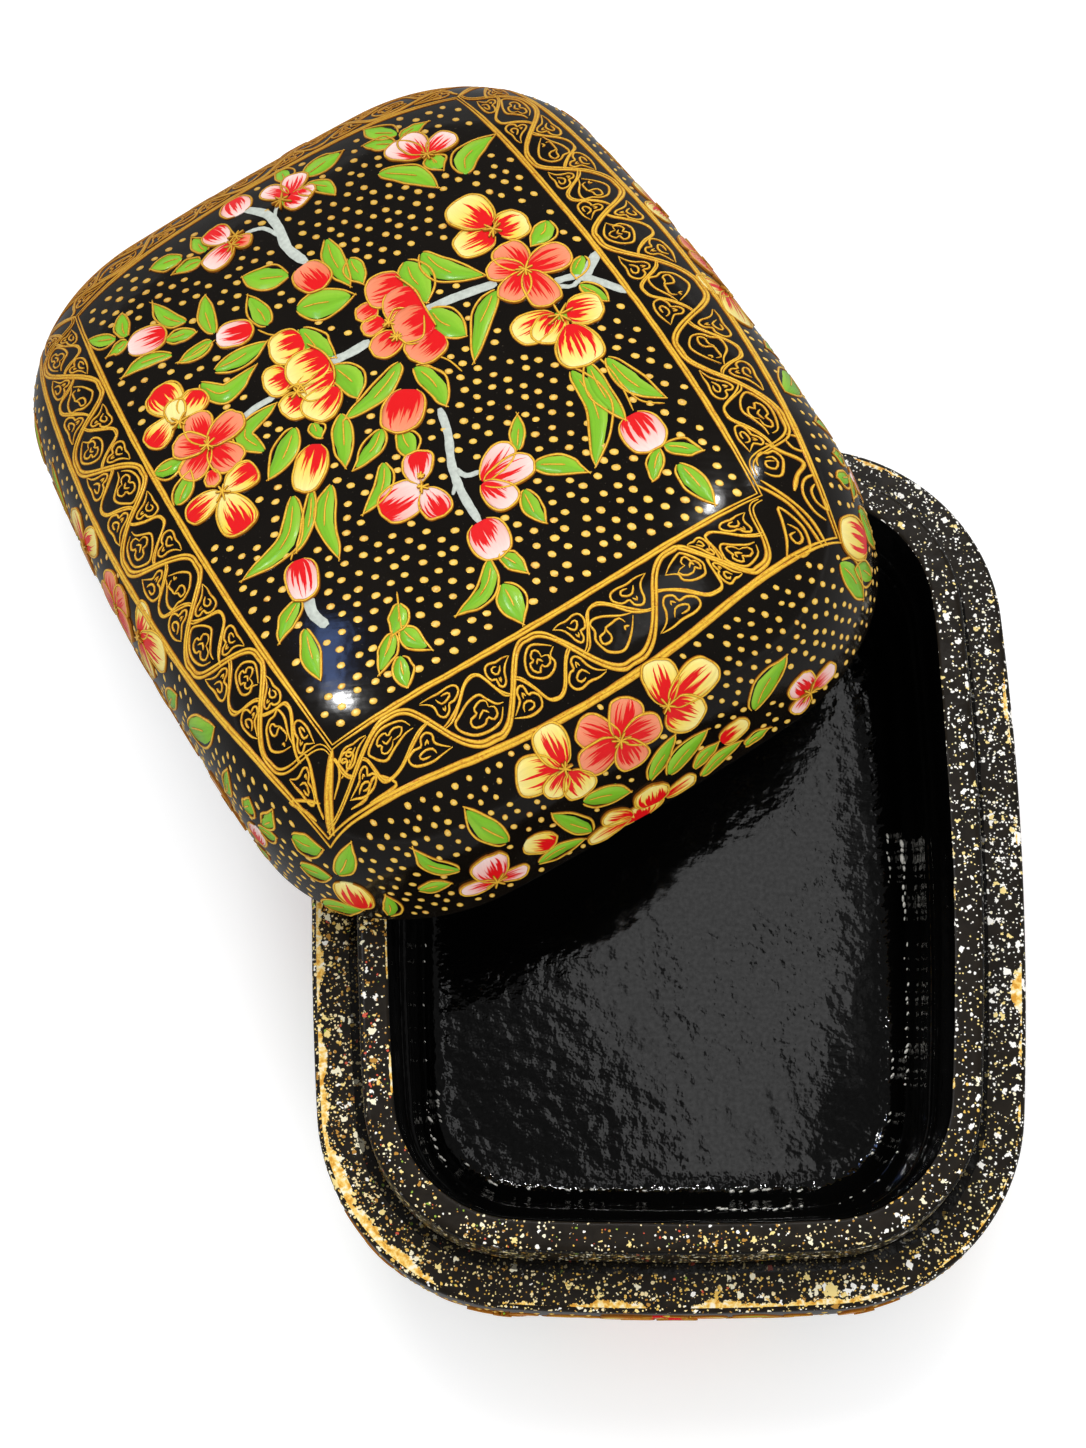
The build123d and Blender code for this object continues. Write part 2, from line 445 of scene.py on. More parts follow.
class Paint:
    """One colour of thick paint, laid on a canvas mark by mark."""

    def __init__(self, name, seed):
        self.name = name
        self.random = random.Random(seed)
        self.bm = bmesh.new()
        self.scratch = bpy.data.meshes.new("scratch_" + name)

    def start(self):
        """A mesh for one mark, a way to note where a vertex is in it, and the mark's chance."""
        bm = bmesh.new()
        layers = [bm.verts.layers.float.new(name) for name in ("along", "across", "chance")]
        luck = self.random.random()

        def note(vert, along, across):
            for layer, value in zip(layers, (along, across, luck)):
                vert[layer] = value

        return bm, note, luck

    def keep(self, mark):
        """Add a finished mark to the paint."""
        mark.to_mesh(self.scratch)
        mark.free()
        self.bm.from_mesh(self.scratch)

    def mark(self, canvas, line, width, lift, shape, cuts, cross, start=0.0):
        """A mark along a line: its middle stands lift high and its edges sink in."""
        bm, note, _ = self.start()
        bmesh.ops.create_grid(bm, x_segments=cuts, y_segments=cross, size=1)
        for vert in bm.verts:
            part = 0.5 + 0.5 * math.sin(vert.co.x * math.pi / 2)
            side = math.copysign(1 - (1 - abs(vert.co.y)) ** 3.8, vert.co.y)
            edge = abs(vert.co.x) > 0.99 or abs(vert.co.y) > 0.99
            place, way = along_line(line, part)
            half = max(width * 0.5 * shape(part), 0.02)
            place = place + Vector((-way.y, way.x)) * side * half
            note(vert, abs(part - start), side)
            vert.co = canvas(place.x, place.y, -MARK_SINK if edge else lift)
        self.keep(bm)

    def line(self, canvas, points, width, lift, step=0.8, shape=line_width, wander=0.0):
        """A drawn line through the points, with the slight wander of a hand."""
        points = [
            (x + self.random.uniform(-wander, wander), y + self.random.uniform(-wander, wander))
            for x, y in points
        ]
        length = sum(math.dist(a, b) for a, b in zip(points, points[1:]))
        bm, note, luck = self.start()
        bmesh.ops.create_grid(bm, x_segments=max(4, round(length / step)), y_segments=4, size=1)
        for vert in bm.verts:
            part = 0.5 + 0.5 * vert.co.x
            side = abs(vert.co.y)
            place, way = along_line(points, part)
            thick = 1 + 0.22 * noise.noise(Vector((part * length * 0.6, luck * 50, 0)))
            half = width * 0.5 * shape(part) * thick
            out = math.copysign(0.8 if 0.4 < side < 0.6 else side, vert.co.y)
            place = place + Vector((-way.y, way.x)) * out * half
            note(vert, part * length, out)
            height = lift + 0.02 - 0.03 * side if side < 0.9 else -LINE_SINK
            vert.co = canvas(place.x, place.y, height)
        self.keep(bm)

    def dot(self, canvas, x, y, long, wide, turn, lift):
        """A touch of the brush's tip, thick, with a painted highlight in its pale middle, which is
        at -1 along.
        """
        bm, note, luck = self.start()
        bmesh.ops.create_circle(bm, cap_ends=True, cap_tris=True, segments=9, radius=1)
        for vert in bm.verts:
            middle = vert.co.length < 0.5
            squeeze = 1 + 0.12 * noise.noise(vert.co * 1.5 + Vector((luck * 90, 0, 0)))
            u = vert.co.x * long / 2 * squeeze
            v = vert.co.y * wide / 2 * squeeze
            note(vert, -1 if middle else 0, 0 if middle else 0.6)
            vert.co = canvas(
                x + u * math.cos(turn) - v * math.sin(turn),
                y + u * math.sin(turn) + v * math.cos(turn),
                lift if middle else -DOT_SINK,
            )
        self.keep(bm)

    def finish(self, place, body, slot, material):
        """Make the piece, moved from the canvas to its place on a body."""
        bpy.data.meshes.remove(self.scratch)
        bmesh.ops.transform(self.bm, matrix=place, verts=self.bm.verts)
        if body == "base":
            roughen(self.bm, *BASE_UNEVENNESS)
        if place.determinant() < 0:
            bmesh.ops.reverse_faces(self.bm, faces=self.bm.faces)
        for face in self.bm.faces:
            face.normal_update()
        return finish_piece(self.name, self.bm, body, slot, [material])


# ---------------------------------------------------------------- finishes

def add_node(tree, kind, inputs=None, stops=None, **settings):
    """Add a shader node, of a kind without that prefix, with its settings.

    An input takes a value, an output, or a node for its first output.
    """
    made = tree.nodes.new("ShaderNode" + kind)
    for name, value in settings.items():
        setattr(made, name, value)
    for name, value in (inputs or {}).items():
        if isinstance(value, bpy.types.Node):
            value = next(output for output in value.outputs if output.enabled)
        if isinstance(value, bpy.types.NodeSocket):
            tree.links.new(value, made.inputs[name])
        else:
            made.inputs[name].default_value = value
    for number, (position, tone) in enumerate(stops or []):
        elements = made.color_ramp.elements
        stop = elements[number] if number < 2 else elements.new(position)
        stop.position = position
        stop.color = (*linear(tone), 1)
    return made


def new_finish(name):
    """An empty material and its node tree."""
    material = bpy.data.materials.new(name)
    material.use_nodes = True
    material.node_tree.nodes.clear()
    return material, material.node_tree


def close_finish(tree, shader):
    add_node(tree, "OutputMaterial", {"Surface": shader})


def toned(rgb, factor):
    """A colour made darker or lighter, with full opacity."""
    return (*[min(value * factor, 1) for value in rgb], 1)


def lid_lacquer(colours):
    """Black distemper over paper pulp, rubbed down and varnished by brush.

    It looks a warm black with faint clouds, a fine orange peel, and long soft brush drags.
    """
    material, tree = new_finish("varnished_black_distemper")
    spot = add_node(tree, "TexCoord").outputs["Object"]
    # clouds in the ground about 9 mm across
    clouds = add_node(tree, "TexNoise", {"Vector": spot, "Scale": 110, "Detail": 4})
    tone = add_node(tree, "Mix", {
        "Factor": clouds, "A": toned(colours.lid_lacquer, 0.45),
        "B": toned(colours.lid_lacquer, 1.35),
    }, data_type="RGBA")
    # dust and pinholes in the varnish about 0.4 mm apart, few of them visible
    dust = add_node(tree, "TexNoise", {"Vector": spot, "Scale": 2600, "Detail": 2})
    specks = add_node(tree, "MapRange", {
        "Value": dust, "From Min": 0.70, "From Max": 0.78, "To Max": 0.35,
    })
    dusty = add_node(tree, "Mix", {
        "Factor": specks, "A": tone, "B": (0.10, 0.085, 0.06, 1),
    }, data_type="RGBA")
    drag = add_node(tree, "Mapping", {
        "Vector": spot, "Rotation": (0, 0, math.radians(-60)), "Scale": (60, 900, 300),
    })
    strokes = add_node(tree, "TexNoise", {"Vector": drag, "Scale": 1})
    shine = add_node(tree, "MapRange", {"Value": strokes, "To Min": 0.07, "To Max": 0.17})
    # orange peel about 1.5 mm across
    peel = add_node(tree, "TexNoise", {"Vector": spot, "Scale": 650, "Detail": 1})
    first = add_node(tree, "Bump", {"Height": strokes, "Strength": 1, "Distance": 0.00001})
    second = add_node(tree, "Bump", {
        "Height": peel, "Strength": 1, "Distance": 0.000014, "Normal": first,
    })
    shader = add_node(tree, "BsdfPrincipled", {
        "Base Color": dusty, "Roughness": shine, "IOR": 1.5, "Specular IOR Level": 0.35,
        "Normal": second,
    })
    close_finish(tree, shader)
    return material


def square_above_zero(tree, value):
    """The square of what a value has above zero."""
    above = add_node(tree, "Math", {0: value, 1: 0}, operation="MAXIMUM")
    return add_node(tree, "Math", {0: above, 1: above}, operation="MULTIPLY")


def inside_lacquer(colours):
    """Several thick coats of black gloss lacquer, poured and left to level.

    It looks wet and deep, with a hammered, slightly dimpled skin.
    """
    material, tree = new_finish("thick_black_gloss_lacquer")
    spot = add_node(tree, "TexCoord").outputs["Object"]
    # swells about 9 mm across, wrinkles 3 mm, dimples 2.1 mm, grit 0.7 mm and patches 18 mm
    swell, wrinkle, dimple, grit, patch = [
        add_node(tree, "TexNoise", {"Vector": spot, "Scale": scale, "Detail": detail})
        for scale, detail in ((110, 2), (340, 3), (470, 2.5), (1500, 1), (55, 1))
    ]
    rough_places = add_node(tree, "MapRange", {
        "Value": patch, "From Min": 0.42, "From Max": 0.62, "To Min": 0.15, "To Max": 0.7,
    })
    place = add_node(tree, "SeparateXYZ", {"Vector": spot})
    x, y = place.outputs["X"], place.outputs["Y"]
    # the lacquer wrinkled as it dried in the near left corner of the floor
    corner = add_node(tree, "Math", {0: y, 1: 0.47, 2: x}, operation="MULTIPLY_ADD")
    corner = add_node(tree, "MapRange", {
        "Value": corner, "From Min": -0.022, "From Max": -0.012, "To Min": 1.0, "To Max": 0.0,
    })
    # and a little along the right side
    side = add_node(tree, "MapRange", {
        "Value": x, "From Min": 0.014, "From Max": 0.026, "To Max": 0.45,
    })
    wrinkles = add_node(tree, "Math", {0: corner, 1: side}, operation="MAXIMUM")
    # beads hang on the walls and where they meet the floor
    band = add_node(tree, "Attribute", attribute_name="band").outputs["Fac"]
    beaded = add_node(tree, "MapRange", {
        "Value": band, "From Min": 10.3, "From Max": 11.5, "To Max": 3.0,
    })
    rough_places = add_node(tree, "Math", {0: rough_places, 1: beaded}, operation="MAXIMUM")
    # the poured coats stand a little higher towards the far end
    climb = square_above_zero(tree, add_node(tree, "Math", {0: y, 1: 0.005}))
    # and they climb towards the right wall, gently at first and then steeply
    for start, lean, rise in ((-0.008, 0, 0.53), (-0.0245, -0.12, 2.4)):
        line = add_node(tree, "Math", {0: y, 1: lean, 2: start}, operation="MULTIPLY_ADD")
        aside = square_above_zero(tree, add_node(tree, "Math", {0: x, 1: line}))
        climb = add_node(tree, "Math", {0: aside, 1: rise, 2: climb}, operation="MULTIPLY_ADD")
    curved = add_node(tree, "Math", {0: climb, 1: 1.9}, operation="MULTIPLY")
    slope = add_node(tree, "Math", {0: y, 1: 0.06, 2: curved}, operation="MULTIPLY_ADD")
    normal = add_node(tree, "Bump", {"Height": slope, "Strength": 1, "Distance": 1})
    for height, strength, distance in (
        (swell, 1, 0.00010), (dimple, rough_places, 0.00010), (wrinkle, wrinkles, 0.00018),
        (grit, rough_places, 0.00001),
    ):
        normal = add_node(tree, "Bump", {
            "Height": height, "Strength": strength, "Distance": distance, "Normal": normal,
        })
    gloss = add_node(tree, "MapRange", {
        "Value": grit, "From Min": 0.3, "From Max": 0.7, "To Min": 0.40, "To Max": 0.56,
    })
    tone = add_node(tree, "Mix", {
        "Factor": patch, "A": toned(colours.inside_lacquer, 0.5),
        "B": toned(colours.inside_lacquer, 1.4),
    }, data_type="RGBA")
    shader = add_node(tree, "BsdfPrincipled", {
        "Base Color": tone, "Roughness": 0.07, "IOR": 1.5, "Specular IOR Level": gloss,
        "Normal": normal,
    })
    close_finish(tree, shader)
    return material


def rim_lacquer(colours):
    """Dark distemper strewn with silver and gold leaf flecks, rubbed back to a dull sheen.

    It looks nearly black with dense white, cream and gold flecks, and the leaf and the pale
    ground show where the outer edge is worn through; the white flecks on the right are partly
    painted glints.
    """
    material, tree = new_finish("rubbed_lacquer_with_leaf_flecks")
    spot = add_node(tree, "TexCoord").outputs["Object"]
    warp = add_node(tree, "TexNoise", {"Vector": spot, "Scale": 1300, "Detail": 3})
    clouds = add_node(tree, "TexNoise", {"Vector": spot, "Scale": 420, "Detail": 5})
    ground = add_node(tree, "Mix", {
        "Factor": clouds, "A": toned(colours.rim_lacquer, 0.3),
        "B": toned(colours.rim_lacquer, 1.9),
    }, data_type="RGBA")
    # flecks are silver-white along the right side, partly leaf and partly painted glints, and gold
    # along the left and near sides
    where = add_node(tree, "SeparateXYZ", {"Vector": spot})
    silver = add_node(tree, "Math", {
        0: where.outputs["Y"], 1: 0.35, 2: where.outputs["X"],
    }, operation="MULTIPLY_ADD")
    silver = add_node(tree, "MapRange", {"Value": silver, "From Min": -0.005, "From Max": 0.040})
    drift = add_node(tree, "TexNoise", {"Vector": spot, "Scale": 60, "Detail": 3})
    worn_spots = add_node(tree, "Attribute", attribute_name="wear").outputs["Fac"]
    dense = add_node(tree, "Math", {0: silver, 1: 0.16, 2: worn_spots}, operation="MULTIPLY_ADD")
    dense = add_node(tree, "Math", {0: drift, 1: 0.5, 2: dense}, operation="MULTIPLY_ADD")
    # cell of the flecks in mm, chance that a cell stays empty, size of a fleck in its cell, and
    # how far its outline strays in mm
    for cell, empty, size, stray in (
        (0.48, 0.78, 0.36, 0.3), (0.75, 0.84, 0.36, 0.6), (1.3, 1.02, 0.40, 1.6),
        (2.6, 1.42, 0.40, 3.0),
    ):
        shift = add_node(tree, "VectorMath", {
            0: warp.outputs["Color"], "Scale": stray * MM,
        }, operation="SCALE")
        bent = add_node(tree, "VectorMath", {0: spot, 1: shift})
        cells = add_node(tree, "TexVoronoi", {"Vector": bent, "Scale": 1 / (cell * MM)})
        parts = add_node(tree, "SeparateColor", {"Color": cells.outputs["Color"]})
        likely = add_node(tree, "Math", {0: parts.outputs["Red"], 1: dense})
        chosen = add_node(tree, "Math", {0: likely, 1: empty}, operation="GREATER_THAN")
        reach = add_node(tree, "Math", {
            0: parts.outputs["Green"], 1: size * 0.6, 2: size * 0.4,
        }, operation="MULTIPLY_ADD")
        inside = add_node(tree, "Math", {0: cells, 1: reach}, operation="LESS_THAN")
        here = add_node(tree, "Math", {0: chosen, 1: inside}, operation="MULTIPLY")
        # low values are silver white, partly painted glints, and high ones gold
        pick = add_node(tree, "Math", {
            0: silver, 1: -0.62, 2: parts.outputs["Blue"],
        }, operation="MULTIPLY_ADD")
        leaf = add_node(tree, "ValToRGB", {"Fac": pick}, stops=(
            (0.0, "#fbf9f4"), (0.08, "#f6efd2"), (0.24, "#f5de92"), (0.46, "#e8bd58"),
            (0.62, "#f6e2ae"), (0.82, "#b98636"), (0.95, "#8cab3a"), (0.97, "#d0553c"),
        ))
        leaf.color_ramp.interpolation = "CONSTANT"
        ground = add_node(tree, "Mix", {"Factor": here, "A": ground, "B": leaf}, data_type="RGBA")
    # the edge is worn through behind the black of its rounding
    band = add_node(tree, "Attribute", attribute_name="band").outputs["Fac"]
    patchy = add_node(tree, "TexNoise", {
        "Vector": spot, "Scale": 105, "Detail": 8, "Roughness": 0.74,
    })
    patchy = add_node(tree, "Math", {0: worn_spots, 1: 0.35, 2: patchy}, operation="MULTIPLY_ADD")
    depth = add_node(tree, "MapRange", {
        "Value": patchy, "From Min": 0.44, "From Max": 0.76, "To Min": -0.3, "To Max": 2.2,
    })
    worn = add_node(tree, "Math", {0: band, 1: depth}, operation="LESS_THAN")
    bare = add_node(tree, "Math", {0: band, 1: 0.5}, operation="GREATER_THAN")
    edge = add_node(tree, "Math", {0: worn, 1: bare}, operation="MULTIPLY")
    wear = add_node(tree, "ValToRGB", {"Fac": warp}, stops=(
        (0.36, "#dc9c34"), (0.45, "#f4c45a"), (0.54, "#fbdf92"), (0.64, "#fdf2da"),
    ))
    ground = add_node(tree, "Mix", {"Factor": edge, "A": ground, "B": wear}, data_type="RGBA")
    # black lacquer lies thick in the groove where the collar stands on the ledge
    groove = add_node(tree, "MapRange", {"Value": band, "From Min": 5.0, "From Max": 5.7})
    edge = add_node(tree, "Math", {0: groove, 1: clouds})
    black = add_node(tree, "MapRange", {
        "Value": edge, "From Min": 0.92, "From Max": 1.05, "To Max": 0.85,
    })
    ground = add_node(tree, "Mix", {
        "Factor": black, "A": ground, "B": (0.003, 0.003, 0.003, 1),
    }, data_type="RGBA")
    gloss = add_node(tree, "MapRange", {"Value": black, "To Min": 0.34, "To Max": 0.12})
    bump = add_node(tree, "Bump", {"Height": clouds, "Strength": 1, "Distance": 0.00012})
    shader = add_node(tree, "BsdfPrincipled", {
        "Base Color": ground, "Roughness": gloss, "Specular IOR Level": 0.25, "Normal": bump,
    })
    close_finish(tree, shader)
    return material


def brush_marks(tree, stretch, detail):
    """Where a place is along and across a stroke, and the streaks that the brush's hairs leave."""
    along, across, chance = [
        add_node(tree, "Attribute", attribute_name=name).outputs["Fac"]
        for name in ("along", "across", "chance")
    ]
    brush = add_node(tree, "CombineXYZ", {"X": along, "Y": across, "Z": chance})
    hairs = add_node(tree, "VectorMath", {0: brush, 1: stretch}, operation="MULTIPLY")
    streaks = add_node(tree, "TexNoise", {"Vector": hairs, "Scale": 1, "Detail": detail})
    return along, across, streaks


def varnish(tree, tone, streaks, thickness, roughness=0.2, specular=0.35, metallic=0.0):
    """Varnish that follows the streaks, which stand as high as thickness, in metres."""
    bump = add_node(tree, "Bump", {"Height": streaks, "Strength": 1, "Distance": thickness})
    shader = add_node(tree, "BsdfPrincipled", {
        "Base Color": tone, "Metallic": metallic, "Roughness": roughness,
        "Specular IOR Level": specular, "Normal": bump,
    })
    close_finish(tree, shader)


def gold_paint(colours):
    """Bronze powder in gum, laid thick with a fine brush and varnished over.

    It looks a warm opaque gold with darker streaks where the brush ran thin.
    """
    material, tree = new_finish("varnished_bronze_gold_paint")
    spot = add_node(tree, "TexCoord").outputs["Object"]
    along, across, streaks = brush_marks(tree, (0.5, 2.4, 60), 2)
    # grains of the bronze powder, drawn at 0.3 mm so that they show
    grains = add_node(tree, "TexNoise", {"Vector": spot, "Scale": 3300, "Detail": 2})
    mixed = add_node(tree, "Math", {0: streaks, 1: grains})
    thin = add_node(tree, "MapRange", {"Value": mixed, "From Min": 0.62, "From Max": 1.02})
    tone = add_node(tree, "Mix", {
        "Factor": thin, "A": (*linear("#cd7a18"), 1), "B": toned(colours.gold, 1.2),
    }, data_type="RGBA")
    # the paint thins to brown along the sides of a stroke
    side = add_node(tree, "Math", {0: across, 1: across}, operation="MULTIPLY")
    # a dab gets a painted highlight, paler in its middle, and painted shade darkens the gold
    # towards the far side of the lid
    painted_shade_toward_far = add_node(tree, "VectorMath", {0: spot, 1: (-0.49, 0.87, 0)}, operation="DOT_PRODUCT")
    for value, least, most, share, tint in (
        (side, 0.0, 0.8, 0.9, "#964a06"), (along, -0.1, -0.9, 0.6, "#ffe79c"),
        (painted_shade_toward_far, 0.083, 0.13, 0.55, "#8a4f12"),
    ):
        amount = add_node(tree, "MapRange", {
            "Value": value, "From Min": least, "From Max": most, "To Max": share,
        })
        tone = add_node(tree, "Mix", {
            "Factor": amount, "A": tone, "B": (*linear(tint), 1),
        }, data_type="RGBA")
    varnish(tree, tone, mixed, 0.00003, roughness=0.24, specular=0.25, metallic=0.12)
    return material


def leaf_paint(colours):
    """Opaque green body colour, varnished.  It looks flat and bright, with a yellower side."""
    material, tree = new_finish("varnished_green_body_colour")
    _, across, streaks = brush_marks(tree, (1.6, 2.6, 40), 3)
    tone = add_node(tree, "Mix", {
        "Factor": streaks, "A": toned(colours.leaf, 0.72), "B": toned(colours.leaf, 1.25),
    }, data_type="RGBA")
    lit = add_node(tree, "MapRange", {
        "Value": across, "From Min": 0.1, "From Max": 0.9, "To Max": 0.4,
    })
    warm = add_node(tree, "Mix", {
        "Factor": lit, "A": tone, "B": (*linear("#b9dc4a"), 1),
    }, data_type="RGBA")
    varnish(tree, warm, streaks, 0.00003)
    return material


def petal_paint(name, body, tip, red, reach):
    """Opaque body colour with red drawn in by a split brush while wet, then varnished.

    It looks pale towards the far end, with feathered red fingers from the other.
    """
    material, tree = new_finish(name)
    along, across, fingers = brush_marks(tree, (0.7, 6.5, 70), 2)
    # red reaches two thirds of the way in the middle of a petal and little at its sides
    side = add_node(tree, "Math", {0: across, 1: across}, operation="MULTIPLY")
    limit = add_node(tree, "Math", {0: side, 1: -0.42, 2: reach - 0.85}, operation="MULTIPLY_ADD")
    ragged = add_node(tree, "Math", {0: fingers, 1: 1.7, 2: limit}, operation="MULTIPLY_ADD")
    left = add_node(tree, "Math", {0: ragged, 1: along}, operation="SUBTRACT")
    stroke = add_node(tree, "MapRange", {"Value": left, "From Min": -0.04, "From Max": 0.06})
    fade = add_node(tree, "MapRange", {"Value": along, "From Min": 0.35, "From Max": 1.0})
    ground = add_node(tree, "Mix", {
        "Factor": fade, "A": toned(body, 1), "B": toned(tip, 1),
    }, data_type="RGBA")
    worked = add_node(tree, "MapRange", {"Value": fingers, "To Min": 0.82, "To Max": 1.15})
    shaded = add_node(tree, "VectorMath", {0: ground, "Scale": worked}, operation="SCALE")
    tone = add_node(tree, "Mix", {
        "Factor": stroke, "A": shaded, "B": toned(red, 1),
    }, data_type="RGBA")
    varnish(tree, tone, fingers, 0.00004)
    return material


def branch_paint(colours):
    """Thin grey-green body colour, varnished.  It looks chalky, with the ground showing through."""
    material, tree = new_finish("varnished_grey_body_colour")
    spot = add_node(tree, "TexCoord").outputs["Object"]
    # brush hairs about 0.6 mm apart
    hairs = add_node(tree, "TexNoise", {"Vector": spot, "Scale": 1600, "Detail": 2})
    tone = add_node(tree, "Mix", {
        "Factor": hairs, "A": toned(colours.branch, 0.6), "B": toned(colours.branch, 1.15),
    }, data_type="RGBA")
    shader = add_node(tree, "BsdfPrincipled", {
        "Base Color": tone, "Roughness": 0.45, "Specular IOR Level": 0.4,
    })
    close_finish(tree, shader)
    return material


def find_finish(name, make, *values):
    """A finish is made once and shared."""
    return bpy.data.materials.get(name) or make(*values)


def paint_finishes(colours):
    """The finish of each paint, by the paint's name."""
    finishes = {
        "gold": find_finish("varnished_bronze_gold_paint", gold_paint, colours),
        "leaf": find_finish("varnished_green_body_colour", leaf_paint, colours),
        "branch": find_finish("varnished_grey_body_colour", branch_paint, colours),
    }
    # petals: paint, the name of its finish, the colour of its tips, and how far the red reaches
    for paint, name, tip, reach in (
        ("coral", "coral_petal_body_colour", "#f79a76", 0.67),
        ("yellow", "yellow_petal_body_colour", "#fcee9e", 0.62),
        ("pink", "pink_petal_body_colour", "#fde3de", 0.6),
    ):
        body = getattr(colours, paint)
        finishes[paint] = find_finish(
            name, petal_paint, name, body, linear(tip), colours.red, reach
        )
    return finishes


# ---------------------------------------------------------------- the painted pattern, in mm

# Panel petals: paint, foot, tip, width, and the end that the red comes from (0 foot, 1 tip)
SPRAY_PETALS = (
    # big coral flower in the middle
    ("coral", (4.4, 13.2), (1.2, 13.1), 3.4, 0), ("coral", (4.2, 10.2), (0.7, 10.0), 3.4, 0),
    ("coral", (4.8, 6.4), (0.3, 5.0), 4.8, 0), ("coral", (9.5, 14.4), (4.0, 15.7), 6.6, 0),
    ("coral", (9.9, 2.2), (4.2, 0.9), 6.2, 0), ("coral", (10.4, 9.8), (4.8, 11.2), 7.4, 0, 5, 12),
    ("coral", (10.2, 6.2), (4.5, 6.3), 7.4, 0, 4, 13),
    # big yellow flower left of it
    ("yellow", (-5.7, 8.0), (-10.4, 8.4), 9.6, 0, 0, 0),
    ("yellow", (-11.6, 10.2), (-15.4, 10.4), 5.8, 0),
    ("yellow", (-11.4, 4.8), (-15.1, 3.8), 5.2, 0), ("yellow", (-7.1, 14.6), (-12.2, 15.3), 6.4, 0),
    ("yellow", (-6.7, 3.2), (-12.4, 0.9), 5.8, 0),
    ("yellow", (-5.9, 5.8), (-11.7, 5.5), 5.2, 0, 4, 13),
    ("yellow", (-5.6, 9.0), (-12.0, 9.8), 6.6, 0, 3, 15),
    # yellow, coral and yellow flowers in the left group
    ("yellow", (-27.8, 15.2), (-29.0, 21.8), 5.6, 1),
    ("yellow", (-29.0, 15.2), (-34.0, 13.4), 4.6, 1),
    ("yellow", (-27.4, 14.2), (-23.4, 16.6), 4.6, 1),
    ("yellow", (-28.8, 13.6), (-27.6, 17.8), 3.2, -1),
    ("coral", (-26.8, 7.0), (-26.2, 13.4), 4.4, 0), ("coral", (-26.6, 6.8), (-30.8, 10.4), 4.2, 0),
    ("coral", (-26.6, 6.8), (-20.4, 8.4), 4.6, 0), ("coral", (-26.6, 6.6), (-31.8, 4.0), 4.4, 0),
    ("coral", (-26.4, 6.4), (-24.6, 0.6), 4.8, 0), ("coral", (-28.2, 2.6), (-28.8, -0.2), 2.2, 0),
    ("yellow", (-28.6, -1.8), (-34.4, -2.4), 4.0, 1),
    ("yellow", (-28.0, -2.0), (-22.6, -1.8), 4.8, 1),
    ("yellow", (-28.4, -2.8), (-28.4, -10.4), 5.6, 1),
    # yellow, coral and yellow flowers on the right
    ("yellow", (24.8, 15.8), (22.6, 23.4), 6.4, 0), ("yellow", (24.6, 14.6), (18.6, 14.8), 5.8, 0),
    ("yellow", (25.2, 14.2), (29.8, 14.4), 6.0, 0), ("coral", (25.2, 5.2), (24.4, 11.4), 4.8, 0),
    ("coral", (25.0, 5.2), (20.6, 8.4), 4.0, 0), ("coral", (25.4, 5.0), (32.0, 4.8), 5.4, 0),
    ("coral", (25.0, 4.8), (20.4, 1.2), 4.4, 0), ("coral", (25.2, 4.6), (25.2, -3.2), 4.6, 0),
    ("yellow", (24.8, -5.2), (18.2, -5.4), 5.8, 0), ("yellow", (25.0, -5.6), (20.8, -8.6), 5.2, 0),
    ("yellow", (26.2, -5.8), (31.2, -7.4), 5.8, 0), ("yellow", (25.4, -8.0), (24.2, -16.2), 6.4, 0),
    # pink flowers
    ("pink", (-8.4, 41.2), (-9.8, 46.0), 4.6, 1), ("pink", (-7.8, 40.2), (-13.2, 37.8), 4.2, 0),
    ("coral", (-8.0, 40.2), (-5.2, 38.6), 2.8, 0), ("pink", (3.2, 43.8), (0.4, 48.4), 3.2, 0),
    ("pink", (3.6, 43.8), (6.2, 48.0), 4.4, 0), ("pink", (3.2, 43.4), (4.8, 40.0), 4.4, 0),
    ("pink", (4.6, 43.0), (7.0, 41.6), 2.4, 0), ("pink", (23.2, 35.8), (19.6, 41.6), 4.0, 0),
    ("pink", (23.4, 36.0), (22.8, 42.2), 4.2, 0), ("pink", (24.0, 35.8), (28.8, 37.8), 4.2, 0),
    ("pink", (-4.8, -20.6), (-11.2, -21.0), 6.4, 1), ("pink", (-4.6, -19.8), (-2.4, -14.6), 4.4, 1),
    ("pink", (-4.4, -21.0), (-4.2, -26.6), 4.2, 1), ("pink", (2.8, -25.0), (8.8, -21.6), 4.0, 0),
    ("pink", (2.8, -25.6), (10.2, -26.4), 4.6, 0), ("pink", (2.6, -25.4), (4.8, -31.0), 4.2, 0),
)
SPRAY_BUDS = (
    ("pink", (-4.4, 46.0), (-4.2, 51.0), 5.0, 1), ("pink", (-29.3, 32.4), (-23.4, 30.4), 5.0, 1),
    ("pink", (-17.6, 23.8), (-12.4, 21.6), 4.8, 1), ("coral", (-1.4, 27.8), (-0.4, 21.8), 5.2, 1),
    ("yellow", (-13.6, -4.0), (-18.6, -10.4), 4.8, 0), ("coral", (1.6, -4.0), (-3.2, -9.8), 6.2, 0),
    ("pink", (-24.2, -20.2), (-26.2, -26.6), 4.6, 0),
    ("pink", (-0.6, -30.6), (-0.8, -37.2), 5.4, 0), ("pink", (24.9, -27.6), (25.0, -34.6), 5.8, 0),
)
